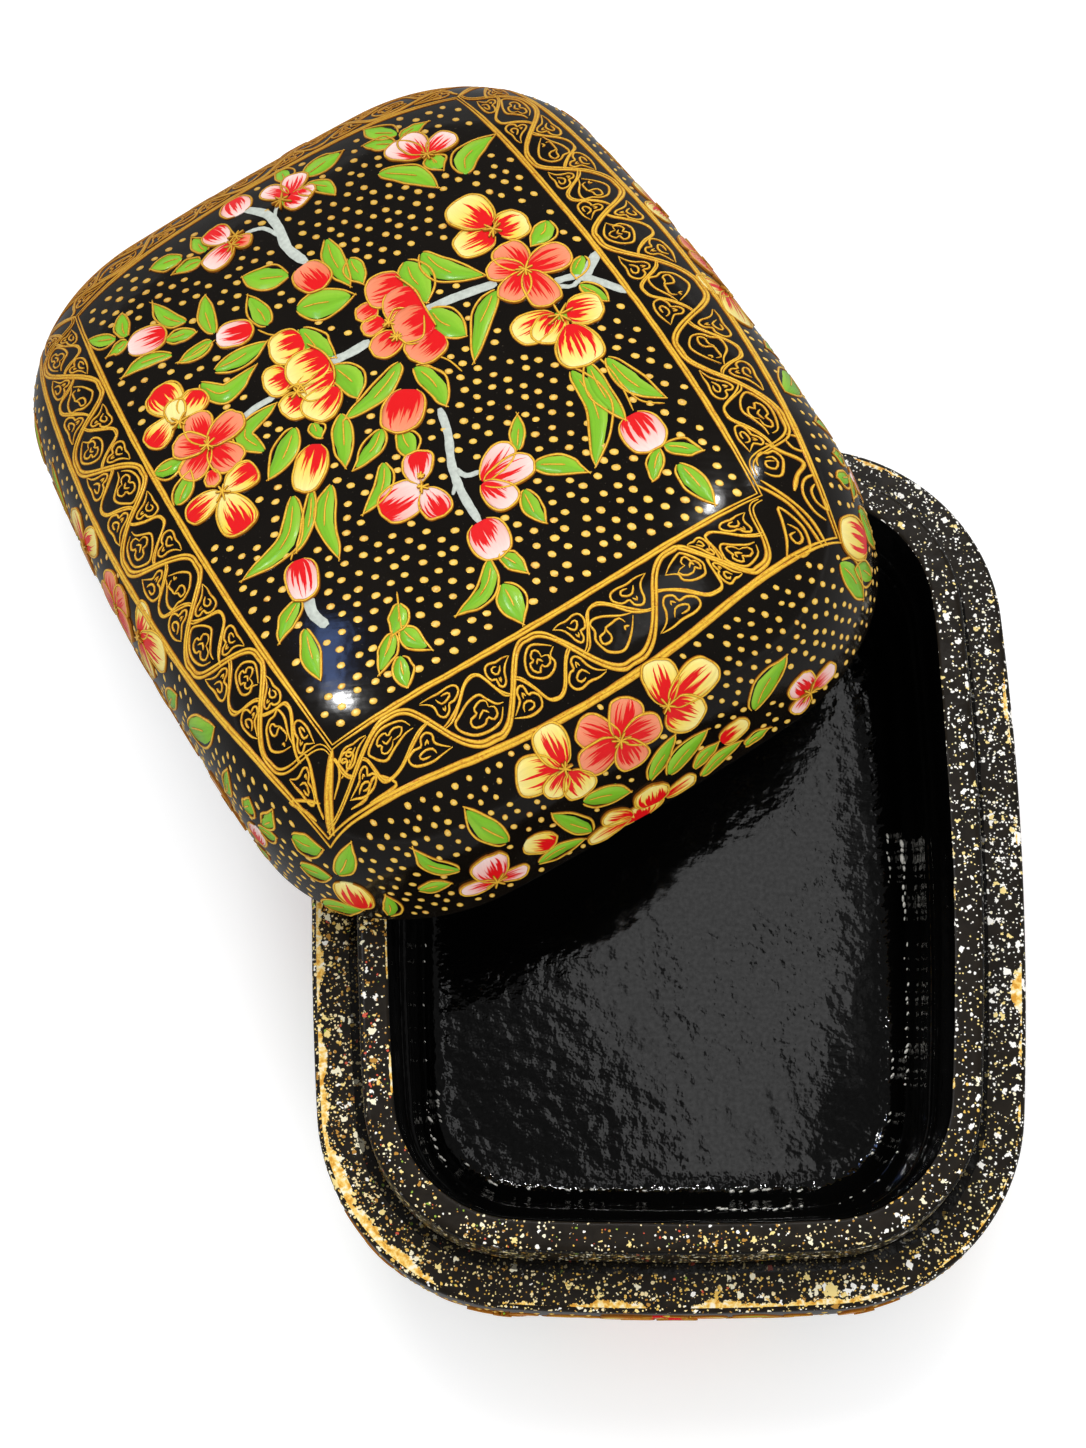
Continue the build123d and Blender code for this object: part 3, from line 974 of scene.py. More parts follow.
# Leaves: width, then points from foot to tip
SPRAY_LEAVES = (
    (2.4, (4.0, 47.6), (4.1, 52.0)), (4.2, (7.0, 46.0), (13.3, 46.9)),
    (2.4, (6.3, 43.8), (8.4, 41.4), (8.8, 38.0)), (3.2, (-15.5, 43.4), (-20.2, 45.4)),
    (2.4, (-12.0, 42.0), (-12.4, 46.6)), (2.6, (-13.2, 40.6), (-17.4, 41.1)),
    (3.2, (22.0, 43.8), (18.6, 49.4)), (2.6, (20.8, 41.8), (17.0, 45.2)),
    (2.2, (22.0, 42.8), (26.5, 43.4)), (3.6, (16.0, 37.2), (20.0, 33.6), (21.8, 28.6)),
    (3.8, (26.6, 28.0), (28.8, 31.8), (33.4, 33.4)), (3.4, (24.0, 35.2), (24.2, 31.6)),
    (2.2, (-30.2, 35.8), (-33.6, 39.6)), (2.3, (-28.6, 34.8), (-27.5, 39.8)),
    (1.9, (-28.8, 33.8), (-32.0, 33.6)), (2.3, (-20.0, 30.2), (-22.0, 33.0), (-22.7, 37.6)),
    (2.2, (-24.4, 25.8), (-28.0, 27.8), (-32.0, 28.0)), (2.4, (-23.9, 29.1), (-19.7, 27.0)),
    (2.6, (-17.4, 25.0), (-17.2, 28.8), (-15.6, 32.8)), (2.2, (-18.3, 24.0), (-24.0, 23.6)),
    (2.8, (-10.2, 20.8), (-10.3, 27.6)), (4.4, (-3.7, 27.6), (-9.4, 32.2)),
    (3.2, (-22.9, 17.8), (-20.8, 13.6), (-15.3, 15.0)), (3.0, (-20.2, 18.4), (-11.7, 18.0)),
    (2.8, (-20.4, 0.2), (-21.6, 5.0), (-15.6, 6.6)), (3.4, (-15.0, 0.9), (-21.8, -4.8)),
    (2.6, (-35.3, 8.6), (-30.6, 7.4)), (2.8, (-34.9, 1.3), (-30.8, 4.6)),
    (1.9, (-12.5, -0.2), (-12.4, -3.3)), (2.8, (-8.3, -1.4), (-11.9, -10.3)),
    (3.0, (2.6, 1.4), (-2.0, -1.6), (-8.2, -2.6)), (3.8, (-6.6, 16.8), (-4.8, 9.0)),
    (3.8, (-5.8, 7.3), (-4.6, 3.5), (-5.2, -0.2)), (5.4, (-5.4, 20.8), (2.2, 17.6)),
    (3.0, (4.0, 30.2), (3.0, 19.6)), (2.6, (5.2, 24.2), (4.8, 18.6)),
    (4.6, (11.6, 18.0), (10.8, 8.8)), (4.2, (10.4, 7.4), (12.6, -0.4)),
    (3.6, (14.3, 17.8), (15.6, 12.6), (19.6, 8.0)), (2.8, (20.0, 4.0), (16.4, 1.2), (11.6, -5.2)),
    (3.2, (32.2, 12.2), (28.0, 8.8)), (1.9, (33.2, 3.0), (30.4, -0.6)),
    (1.9, (30.2, -2.0), (32.2, -6.8)), (2.8, (-4.7, -7.8), (-10.7, -11.4)),
    (2.8, (-2.8, -9.8), (-3.8, -15.2)), (2.4, (-7.2, -13.2), (-9.0, -16.8), (-12.9, -19.0)),
    (3.0, (-20.2, -9.8), (-24.4, -16.2), (-31.8, -17.2)), (1.5, (-17.6, -10.6), (-24.0, -18.8)),
    (2.8, (-14.9, -11.8), (-18.2, -16.0), (-19.4, -23.2)), (3.0, (4.0, -0.8), (4.6, -10.0)),
    (2.3, (-27.0, -26.0), (-32.0, -29.6)), (2.4, (-28.4, -30.6), (-30.1, -38.4)),
    (2.1, (9.4, -23.4), (12.0, -18.2)), (3.2, (9.8, -27.0), (15.2, -32.2)),
    (2.2, (7.0, -29.8), (6.9, -36.2)), (2.4, (-2.3, -36.8), (-5.0, -40.6), (-9.9, -41.5)),
    (2.2, (-0.6, -36.8), (1.0, -41.2)), (3.4, (-2.6, -41.0), (-3.1, -47.2)),
    (2.6, (-15.8, -35.4), (-18.6, -38.9)), (2.3, (-18.6, -38.8), (-22.6, -42.5)),
    (2.7, (-17.2, -38.8), (-15.7, -43.2)), (2.2, (-19.4, -42.3), (-20.8, -46.7)),
    (3.0, (21.9, -15.8), (21.6, -24.0), (16.8, -32.4)), (2.3, (24.4, -15.8), (24.0, -28.2)),
    (2.8, (27.0, -16.6), (27.8, -23.0), (30.2, -27.2)), (2.1, (25.4, -34.6), (22.3, -38.8)),
    (2.3, (26.2, -34.7), (30.2, -38.0)), (2.7, (26.3, -38.3), (27.4, -45.8)),
)
# Branches: width at their thickest, then points
SPRAY_BRANCHES = (
    (1.7, (-0.4, 28.0), (-1.5, 33.0), (-0.9, 38.0), (-1.2, 42.5), (-3.6, 46.8)),
    (0.8, (-1.5, 36.2), (-2.8, 39.8), (-5.4, 41.0)), (0.6, (-1.0, 39.0), (0.2, 42.0), (2.4, 44.4)),
    (1.2, (-20.8, 7.7), (-18.0, 8.2), (-15.0, 8.0)), (1.7, (-5.6, 8.3), (-2.5, 7.9), (0.8, 8.0)),
    (1.7, (9.6, 7.7), (14.0, 7.0), (20.6, 5.4)), (1.4, (27.5, 0.6), (31.2, -0.6), (35.4, -6.6)),
    (1.7, (31.6, -0.9), (33.2, 0.6), (35.4, 2.8)), (0.9, (31.0, -0.8), (29.2, -1.6), (27.4, -0.2)),
    (1.3, (3.6, -9.8), (2.6, -14.5), (0.5, -20.0), (-0.4, -25.0), (-0.6, -31.0)),
    (0.9, (0.6, -20.4), (1.4, -22.6), (3.4, -23.2)), (0.6, (-0.2, -22.6), (-1.6, -24.4)),
    (1.7, (-25.8, -26.4), (-26.4, -29.2), (-25.6, -32.2)),
)
SPRAY_STEMS = (
    (0.32, (-24.6, 24.0), (-21.0, 23.3), (-17.8, 23.7)),
    (0.32, (-11.8, 21.0), (-10.9, 19.2), (-10.0, 18.2)),
    (0.32, (26.0, -15.0), (26.5, -20.6), (25.6, -27.2)),
    (0.3, (26.4, -21.0), (27.2, -26.0), (29.8, -28.4)), (0.3, (-15.2, -33.6), (-17.4, -39.2)),
    (0.3, (-18.4, -38.4), (-21.2, -41.2)), (0.32, (4.6, -0.6), (7.0, -4.6), (5.6, -9.0)),
    (0.3, (7.4, -0.8), (8.6, -3.0), (9.2, -6.0)), (0.3, (24.1, 36.0), (23.8, 33.2)),
    (0.3, (-25.2, -19.4), (-24.2, -18.2)),
)
# Folds drawn on the two big flowers, laid out like the stems
SPRAY_FOLDS = (
    (0.4, (9.2, 16.2), (10.3, 12.0), (10.1, 8.0), (9.9, 3.8)),
    (0.36, (4.6, 9.2), (6.2, 10.6), (7.6, 9.8)), (0.36, (4.9, 3.8), (7.4, 3.2), (9.3, 6.6)),
    (0.4, (-7.0, 13.4), (-5.7, 10.4), (-5.6, 7.0), (-6.5, 4.6)),
    (0.34, (-11.8, 7.6), (-10.2, 6.8), (-7.9, 7.4)),
    (0.36, (-12.9, 7.6), (-11.1, 7.4), (-11.0, 4.9)),
)
# Flower middles: place, size and paint
SPRAY_MIDDLES = (
    ((-6.9, 41.2), 1.7, "gold"), ((-8.2, 39.6), 1.9, "yellow"), ((1.8, 43.2), 2.0, "leaf"),
    ((23.7, 35.6), 1.5, "gold"), ((-26.7, 6.8), 1.5, "gold"), ((-28.3, -2.2), 1.8, "gold"),
    ((24.8, 14.9), 1.9, "gold"), ((25.1, 4.9), 1.9, "gold"), ((25.2, -5.8), 2.4, "leaf"),
    ((4.5, 8.9), 1.3, "gold"), ((4.3, 5.8), 1.2, "coral"), ((-12.0, 6.2), 1.7, "coral"),
    ((-28.4, 13.6), 1.9, "leaf"), ((-4.6, -20.7), 1.2, "gold"), ((-3.9, -18.9), 0.8, "gold"),
)

# Pale crumbs in the cavity, partly leaf and partly painted glints of the lamps: 0 under the
# collar or 1 round the floor, first and last turn in degrees, how many, and size in mm
LEAF_CRUMBS_AND_GLINTS = (
    (0, 12, 5, 8, 0.8), (0, 5, -9, 10, 0.62), (0, -14, -20, 3, 0.4), (0, -22, -33, 8, 0.42),
    (0, -34, -41, 6, 0.5), (0, -50, -64, 5, 0.3), (0, -68, -85, 18, 0.5), (0, -127, -137, 14, 0.5),
    (0, -142, -166, 8, 0.25), (1, 17, 4, 8, 0.62), (1, -33, -40, 5, 0.62), (1, -43, -52, 5, 0.55),
    (1, -64, -79, 10, 0.62), (1, -92, -128, 14, 0.5), (1, -134, -139, 7, 0.62),
)

# Garland on the near end: distance from the middle of that end, and length up from the rim
END_PETALS = (
    ("yellow", (-8.8, 18.8), (-15.2, 20.2), 6.0, 0), ("yellow", (-8.4, 18.6), (-8.8, 25.2), 4.8, 0),
    ("yellow", (-8.6, 18.0), (-11.8, 15.2), 3.6, 0), ("yellow", (-8.0, 17.6), (-7.2, 12.4), 4.8, 0),
    ("yellow", (8.2, 18.8), (10.2, 25.2), 4.8, 0), ("yellow", (8.4, 18.6), (16.8, 20.4), 5.2, 0),
    ("yellow", (8.2, 18.2), (11.4, 13.6), 5.8, 0), ("coral", (0.2, 17.8), (-4.2, 22.8), 4.8, 0),
    ("coral", (0.2, 17.8), (4.0, 22.6), 4.8, 0), ("coral", (0.2, 17.8), (-6.2, 16.6), 4.8, 0),
    ("coral", (0.4, 17.8), (6.2, 16.8), 4.8, 0), ("coral", (0.4, 17.6), (0.8, 12.2), 4.8, 0),
    ("pink", (-23.2, 4.8), (-23.4, 10.8), 5.4, 0), ("pink", (-23.6, 5.0), (-28.4, 5.6), 2.8, 0),
    ("pink", (-23.0, 4.8), (-18.8, 3.6), 2.8, 0), ("pink", (27.0, 4.8), (25.6, 9.0), 4.4, 0),
    ("pink", (27.4, 4.8), (32.2, 4.6), 3.4, 0), ("pink", (26.8, 4.6), (23.8, 2.6), 3.0, 0),
    ("yellow", (-3.0, 2.4), (-9.6, 2.2), 2.6, 0), ("yellow", (-2.6, 2.6), (-6.6, 5.4), 3.0, 0),
    ("yellow", (0.4, 2.4), (1.2, 6.4), 5.0, 0), ("yellow", (2.4, 2.2), (7.4, 2.8), 2.6, 0),
    ("yellow", (-1.6, 0.8), (-1.4, 3.8), 7.0, 0),
)
END_BUDS = (
    ("yellow", (-17.6, 9.4), (-14.0, 6.0), 4.0, 1), ("yellow", (12.6, 6.6), (17.2, 7.6), 3.6, 0),
    ("yellow", (-43.5, 10.6), (-43.5, 3.6), 5.4, 1), ("yellow", (49.0, 10.4), (45.0, 18.9), 5.6, 0),
)
END_LEAVES = (
    (3.2, (-19.6, 11.4), (-23.2, 20.0)), (2.0, (-27.2, 10.4), (-30.4, 12.6), (-31.8, 16.6)),
    (2.2, (-33.6, 8.2), (-29.2, 8.2)), (3.4, (-8.0, 11.2), (-1.8, 7.8)),
    (2.6, (1.6, 7.6), (7.0, 13.2)), (3.0, (4.2, 6.4), (11.4, 10.6)),
    (3.2, (18.6, 8.8), (25.8, 14.2)), (2.4, (-8.8, 4.0), (-10.6, 7.6), (-12.6, 12.2)),
    (2.4, (-17.2, 3.6), (-10.2, 3.2)), (2.2, (7.8, 4.4), (12.2, 6.8)),
    (2.2, (8.4, 1.8), (15.2, 4.0)), (1.6, (15.6, 2.6), (19.4, 3.0)),
    (2.8, (-44.2, 12.2), (-40.6, 18.6)), (2.0, (-39.8, 2.0), (-38.6, 7.2)),
    (4.0, (-50.0, 17.8), (-45.4, 17.2)), (3.6, (-50.4, 11.8), (-45.8, 11.2)),
    (3.4, (-50.6, 0.8), (-43.8, 2.8)), (3.4, (41.1, 16.8), (42.3, 7.2)),
    (2.8, (46.8, 5.6), (43.2, 12.6)), (3.8, (52.3, 13.8), (52.6, 4.6)),
)
END_MIDDLES = (
    ((-8.4, 18.4), 1.6, "gold"), ((8.2, 18.7), 1.6, "gold"), ((0.2, 17.8), 1.6, "gold"),
    ((-23.4, 4.8), 1.8, "leaf"), ((26.9, 4.6), 1.8, "gold"),
)
# Garland on a long side, laid out the same way
SIDE_PETALS = (
    ("yellow", (7.2, 20.4), (8.2, 26.2), 4.8, 0), ("yellow", (7.6, 20.6), (16.8, 23.6), 5.2, 0),
    ("yellow", (7.4, 19.8), (10.8, 15.2), 5.4, 0), ("coral", (-1.8, 18.0), (-5.2, 22.6), 4.8, 0),
    ("coral", (-1.6, 18.0), (1.4, 22.8), 4.8, 0), ("coral", (-2.0, 17.8), (-7.4, 16.4), 4.8, 0),
    ("coral", (-1.4, 17.8), (4.0, 17.6), 4.8, 0), ("coral", (-1.6, 17.6), (-1.0, 12.2), 4.8, 0),
    ("yellow", (-15.0, 18.6), (-11.2, 23.8), 4.8, 0),
    ("yellow", (-15.4, 18.4), (-21.2, 20.6), 5.2, 0),
    ("yellow", (-15.2, 18.0), (-17.0, 12.0), 4.8, 0), ("pink", (30.2, 6.2), (30.0, 12.0), 5.2, 0),
    ("pink", (30.0, 6.2), (25.4, 6.8), 3.0, 0), ("pink", (30.4, 6.0), (34.8, 5.2), 3.0, 0),
    ("pink", (-33.0, 7.6), (-32.4, 13.2), 5.0, 0), ("pink", (-33.2, 7.4), (-38.0, 7.2), 3.2, 0),
    ("pink", (-32.8, 7.2), (-28.4, 5.6), 3.2, 0), ("yellow", (-4.2, 2.6), (-9.8, 2.4), 2.8, 0),
    ("yellow", (-3.6, 2.6), (-6.4, 6.0), 3.2, 0), ("yellow", (-1.4, 2.4), (-0.8, 6.6), 5.0, 0),
    ("yellow", (1.0, 2.2), (6.2, 2.8), 2.8, 0),
)
SIDE_BUDS = (
    ("pink", (43.6, 14.6), (41.4, 10.2), 3.8, 1), ("yellow", (16.2, 9.6), (20.2, 6.6), 4.2, 1),
    ("yellow", (-22.4, 7.4), (-18.4, 8.6), 3.8, 0), ("coral", (-47.0, 9.4), (-43.2, 12.4), 4.4, 0),
)
SIDE_LEAVES = (
    (3.8, (24.6, 18.0), (33.8, 24.8)), (2.8, (16.4, 14.4), (20.8, 20.6)),
    (2.2, (41.4, 17.0), (43.2, 19.8)), (2.0, (45.4, 16.8), (48.0, 20.4)),
    (2.2, (44.0, 15.4), (47.8, 15.8)), (2.8, (20.8, 4.2), (26.4, 1.8)),
    (2.6, (8.0, 10.8), (13.6, 8.4)), (2.8, (36.8, 3.4), (42.0, 7.2)),
    (3.2, (-24.6, 14.4), (-31.4, 20.6)), (2.8, (-22.8, 12.2), (-27.6, 9.8)),
    (2.6, (-36.8, 15.2), (-42.4, 20.8)), (2.6, (-7.8, 10.8), (-13.2, 8.0)),
    (2.4, (-12.8, 3.6), (-18.2, 2.6)), (2.8, (-40.8, 4.0), (-46.0, 5.6)),
    (2.6, (4.8, 6.6), (8.6, 2.4)), (2.2, (35.6, 14.8), (37.8, 20.8)),
)
SIDE_MIDDLES = (
    ((7.3, 20.2), 1.6, "gold"), ((-1.7, 17.9), 1.6, "gold"), ((-15.1, 18.3), 1.6, "gold"),
    ((30.1, 6.0), 1.8, "leaf"), ((-32.9, 7.2), 1.8, "leaf"),
)

# Border: inner and outer rails as the corner's x and y, and the bow of the sides, of the near
# end and of the far end
INNER_RAIL = (33.4, 47.2, 2.3, 1.2, 4.6)
OUTER_RAIL = (40.2, 53.8, 6.5, 5.7, 5.7)
# Where the vine turns on each side, as parts of the way from the middle to the corners, and
# whether the first turn is at the outer rail: near end, right side, far end and left side
VINE_TURNS = (
    (True, (-1.0, -0.74, -0.36, -0.11, 0.17, 0.56, 0.70, 0.97)),
    (False, (-0.93, -0.70, -0.43, -0.15, 0.11, 0.32, 0.53, 0.76, 1.0)),
    (True, (-1.0, -0.66, -0.33, 0.0, 0.33, 0.66, 1.0)),
    (False, (-1.0, -0.82, -0.62, -0.42, -0.22, -0.02, 0.20, 0.41, 0.62, 0.80, 1.0)),
)
# Drawn in every bay of the vine: across it from turn to turn, and from its own rail to the other
CHEVRON = (
    (-0.47, 0.42), (-0.36, 0.48), (-0.24, 0.62), (-0.13, 0.79), (-0.04, 0.84), (0.06, 0.83),
    (0.15, 0.75), (0.28, 0.57), (0.38, 0.47), (0.48, 0.43),
)
HEARTS = (
    (((-0.25, 0.33), (-0.16, 0.41), (-0.17, 0.49), (-0.10, 0.57), (0.01, 0.59), (0.14, 0.54),
      (0.22, 0.46), (0.19, 0.33), (0.09, 0.22), (-0.01, 0.195), (-0.14, 0.25), (-0.24, 0.32)),
     ((-0.05, 0.37), (-0.14, 0.38), (-0.12, 0.47), (-0.04, 0.49), (0.0, 0.45), (0.05, 0.51),
      (0.13, 0.46), (0.13, 0.38), (0.06, 0.37), (0.08, 0.31), (0.01, 0.26), (-0.05, 0.30),
      (-0.05, 0.37)),
     ((-0.04, 0.42), (0.01, 0.37), (0.05, 0.42))),
    (((-0.26, 0.49), (-0.16, 0.36), (-0.04, 0.26), (0.05, 0.24), (0.17, 0.31), (0.22, 0.38),
      (0.23, 0.48), (0.18, 0.57), (0.17, 0.66), (0.10, 0.69), (-0.02, 0.67), (-0.16, 0.57),
      (-0.27, 0.53)),
     ((-0.16, 0.48), (-0.14, 0.55), (-0.04, 0.55), (0.03, 0.535), (0.03, 0.43), (0.09, 0.385),
      (0.18, 0.41), (0.16, 0.49), (0.08, 0.50), (0.03, 0.55)),
     ((-0.17, 0.42), (-0.13, 0.44), (-0.12, 0.40))),
    (((-0.29, 0.40), (-0.19, 0.42), (-0.07, 0.52), (0.02, 0.60), (0.14, 0.57), (0.25, 0.49),
      (0.32, 0.41), (0.28, 0.31), (0.16, 0.21), (0.0, 0.19), (-0.17, 0.24), (-0.26, 0.35)),
     ((-0.06, 0.42), (-0.15, 0.40), (-0.16, 0.31), (-0.07, 0.28), (-0.01, 0.33), (0.05, 0.27),
      (0.15, 0.29), (0.17, 0.38), (0.09, 0.41), (0.10, 0.48), (0.02, 0.53), (-0.05, 0.49),
      (-0.06, 0.42)),
     ((-0.05, 0.36), (0.02, 0.41), (0.08, 0.35))),
)
TREFOILS = (
    (((-0.65, 0.83), (-0.55, 0.77), (-0.49, 0.69), (-0.46, 0.59), (-0.40, 0.54), (-0.34, 0.58),
      (-0.33, 0.66), (-0.26, 0.67), (-0.20, 0.75), (-0.22, 0.83), (-0.30, 0.86), (-0.42, 0.84),
      (-0.53, 0.85), (-0.64, 0.835)),
     ((-0.46, 0.78), (-0.41, 0.71), (-0.35, 0.71), (-0.30, 0.76), (-0.33, 0.80), (-0.40, 0.79)),
     ((-0.41, 0.66), (-0.39, 0.61), (-0.37, 0.66))),
    (((-0.63, 0.80), (-0.52, 0.84), (-0.42, 0.86), (-0.31, 0.85), (-0.23, 0.81), (-0.20, 0.72),
      (-0.27, 0.66), (-0.34, 0.65), (-0.35, 0.57), (-0.41, 0.53), (-0.47, 0.58), (-0.47, 0.67),
      (-0.53, 0.73), (-0.61, 0.79)),
     ((-0.48, 0.80), (-0.45, 0.73), (-0.38, 0.71), (-0.31, 0.75), (-0.34, 0.80), (-0.42, 0.80)),
     ((-0.42, 0.67), (-0.41, 0.61), (-0.38, 0.66))),
)
# Widths of the border's lines, in mm, and how high they stand
RAIL_WIDTH, MITRE_WIDTH, VINE_WIDTH = 0.54, 0.7, 0.48
CHEVRON_WIDTHS = (0.36, 0.34)
HEART_WIDTHS = (0.38, 0.34, 0.34)
TREFOIL_WIDTHS = (0.36, 0.34, 0.32)
CORNER_LIFT, BORDER_LIFT, VINE_LIFT = 0.10, 0.11, 0.12
# Dots: length, width, pitch along a row and pitch of the rows
PANEL_DOTS = (1.4, 1.08, 2.55, 2.28)
SIDE_DOTS = (1.22, 0.9, 2.35, 1.98)
DOT_LIFT = 0.12
# Lines of the two border corners at the near end, in mm on the plan: width, then points
CORNER_LINES = (
    (0.9, (-33.5, -47.5), (-36.8, -50.6), (-39.6, -53.6)),
    (0.7, (-33.9, -47.9), (-36.6, -51.2), (-39.2, -54.0)),
    (0.5, (33.8, -45.8), (36.0, -49.2), (37.0, -52.2), (37.3, -55.0)),
    (0.5, (34.6, -45.4), (36.8, -49.2), (37.8, -52.0), (38.1, -54.8)),
    (0.42, (31.8, -55.9), (33.2, -53.8), (34.0, -51.4), (34.7, -49.6), (35.8, -51.5),
     (36.3, -53.2), (35.6, -55.0), (34.0, -55.8), (32.6, -55.4)),
    (0.36, (34.4, -52.0), (35.4, -52.8), (35.2, -54.0), (34.2, -54.4), (33.9, -53.4),
     (34.8, -53.0)),
    (0.42, (35.5, -43.4), (35.8, -42.4), (36.7, -41.6), (37.7, -41.9), (38.6, -41.8),
     (39.1, -43.1), (38.5, -44.5), (37.6, -45.6), (36.5, -45.3), (35.7, -44.5)),
    (0.38, (37.0, -42.6), (38.0, -42.6), (38.2, -43.7), (37.4, -44.5), (36.6, -43.9),
     (36.8, -43.0), (37.8, -43.4)),
    (0.66, (38.2, -40.4), (39.5, -42.2), (41.4, -44.3), (39.6, -46.0), (37.9, -48.0)),
    (0.42, (42.0, -46.0), (40.0, -46.8), (38.9, -48.6), (38.9, -50.8), (39.8, -52.0)),
    (0.38, (41.2, -47.4), (40.2, -48.2), (40.0, -49.8), (40.8, -50.6), (41.2, -48.8)),
    (0.4, (41.6, -39.6), (43.0, -40.4), (42.6, -42.4), (41.4, -42.0), (41.0, -40.6)),
    (0.4, (-38.6, -51.0), (-40.4, -49.0), (-42.0, -47.6), (-41.0, -49.8), (-40.2, -51.6)),
    (0.42, (-36.6, -52.0), (-34.6, -50.8), (-33.6, -49.2), (-32.4, -48.8), (-31.4, -49.6),
     (-32.6, -50.6), (-34.4, -50.9)),
    (0.36, (-33.3, -49.7), (-32.8, -49.3), (-32.5, -49.9), (-33.0, -50.2)),
    (0.42, (-35.4, -54.2), (-33.0, -54.6), (-31.0, -53.6), (-29.6, -54.2), (-28.6, -55.8),
     (-30.6, -55.6), (-32.8, -55.2)),
)


# The lacquer in the cavity hangs in a soft shoulder under the collar, then runs down to the
# floor: how far up the wall, as a part of it, and how far inwards
SHOULDER = (
    (0.97, 0.0), (0.90, 0.1), (0.85, 0.4), (0.81, 0.8), (0.76, 1.05), (0.70, 1.0), (0.58, 0.5),
    (0.44, 0.1), (0.32, 0.0), (0.22, 0.0),
)
# The lacquer inside the collar, with two sagging runs: how far below its top, and the sag
RUNS = (
    (1.0, 0), (3.0, 0), (5.5, 0), (7.6, 0), (7.75, 0.2), (7.9, 0.34), (8.4, 0.4), (9.6, 0.25),
    (11.2, 0), (11.3, 0), (11.4, 0.24), (11.5, 0.42), (11.9, 0.5), (13.4, 0.35), (15.4, 0.05),
    (18.0, 0),
)
# How much smaller the cavity's floor is than its mouth, across and along, and its corner radius
FLOOR_INSETS, FLOOR_CORNER = (1.8, 5.7), 14.0

# Where the ledge is worn most: place, reach and amount
WORN_SPOTS = (
    (-50.0, -12.0, 13, 0.56), (-49.0, -32.0, 12, 0.58), (-46.0, -46.0, 9, 0.55),
    (-42.0, -51.5, 6, 0.65), (-36.0, -56.5, 6, 0.70), (-24.0, -61.0, 9, 0.34),
    (-9.0, -64.0, 9, 0.40), (8.0, -64.0, 10, 0.34), (22.0, -62.0, 9, 0.34), (37.0, -55.0, 7, 0.2),
    (43.5, -49.0, 6, 0.2), (48.5, -19.0, 4, 0.70), (42.0, -35.5, 3, 0.60), (47.5, 5.0, 6, 0.30),
    (46.5, 22.0, 6, 0.30), (-48.0, 10.0, 8, 0.2),
)


def bowed(rail, side, part):
    """A place on a rail: side 0 is the near end, then 1 right, 2 far and 3 left."""
    x, y, side_bow, near_bow, far_bow = rail
    swell = 1 - part * part
    if side == 0:
        return Vector((x * part, -y - near_bow * swell))
    if side == 1:
        return Vector((x + side_bow * swell, y * part))
    if side == 2:
        return Vector((-x * part, y + far_bow * swell))
    return Vector((-x - side_bow * swell, -y * part))


def border_place(side, part, depth):
    """A place in the border: part runs along the side, depth from the inner rail to the outer."""
    return bowed(INNER_RAIL, side, part).lerp(bowed(OUTER_RAIL, side, part), depth)


def inside_rail(rail, x, y, margin):
    """True if a place is inside a rail by the margin."""
    half_x, half_y, side_bow, near_bow, far_bow = rail
    if abs(x) > half_x + side_bow or abs(y) > half_y + max(near_bow, far_bow):
        return False
    at_side = half_x + side_bow * (1 - min(abs(y) / half_y, 1) ** 2)
    bow = far_bow if y > 0 else near_bow
    at_end = half_y + bow * (1 - min(abs(x) / half_x, 1) ** 2)
    return abs(x) < at_side - margin and abs(y) < at_end - margin


def round_line(line, width, shape, stand_off):
    """Points round a petal or a bud, from its foot round its tip and back."""
    right, left = [], []
    for part in (0.03, 0.16, 0.32, 0.48, 0.64, 0.78, 0.89, 0.97):
        place, way = along_line(line, part)
        side = Vector((-way.y, way.x)) * (width * 0.5 * shape(part) + stand_off)
        right.append(tuple(place + side))
        left.append(tuple(place - side))
    place, way = along_line(line, 1.0)
    tip = tuple(place + way * stand_off)
    return right + [tip] + left[::-1]


def leaf_edges(line, width, stand_offs, overshoot):
    """The two sides of a leaf's outline; they cross a little past its tip."""
    sides = []
    for sign, stand_off in zip((1, -1), stand_offs):
        points = []
        for part in (0.0, 0.12, 0.3, 0.5, 0.7, 0.86):
            place, way = along_line(line, part)
            out = sign * (width * 0.5 * leaf_width(max(part, 0.02)) + stand_off * math.sin(
                math.pi * min(part + 0.08, 1)))
            points.append(tuple(place + Vector((-way.y, way.x)) * out))
        place, way = along_line(line, 1.0)
        points.append(tuple(place + way * overshoot - Vector((-way.y, way.x)) * sign * 0.15))
        sides.append(points)
    return sides


# Widths of the gold lines round leaves, along them, round petals and out of the middles
LEAF_EDGE, LEAF_VEIN, PETAL_EDGE, SPOKE = 0.4, 0.3, 0.42, 0.36
# How high the paint stands.  Leaves and petals lie over one another, so theirs goes up in steps
BRANCH_LIFT, STEM_LIFT, FOLD_LIFT, SPOKE_LIFT, MIDDLE_LIFT = 0.07, 0.1, 0.44, 0.46, 0.5
LEAF_LIFT, LEAF_STEP, LEAF_STEPS = 0.07, 0.012, 4
PETAL_LIFT, PETAL_STEP, PETAL_STEPS = 0.12, 0.035, 7


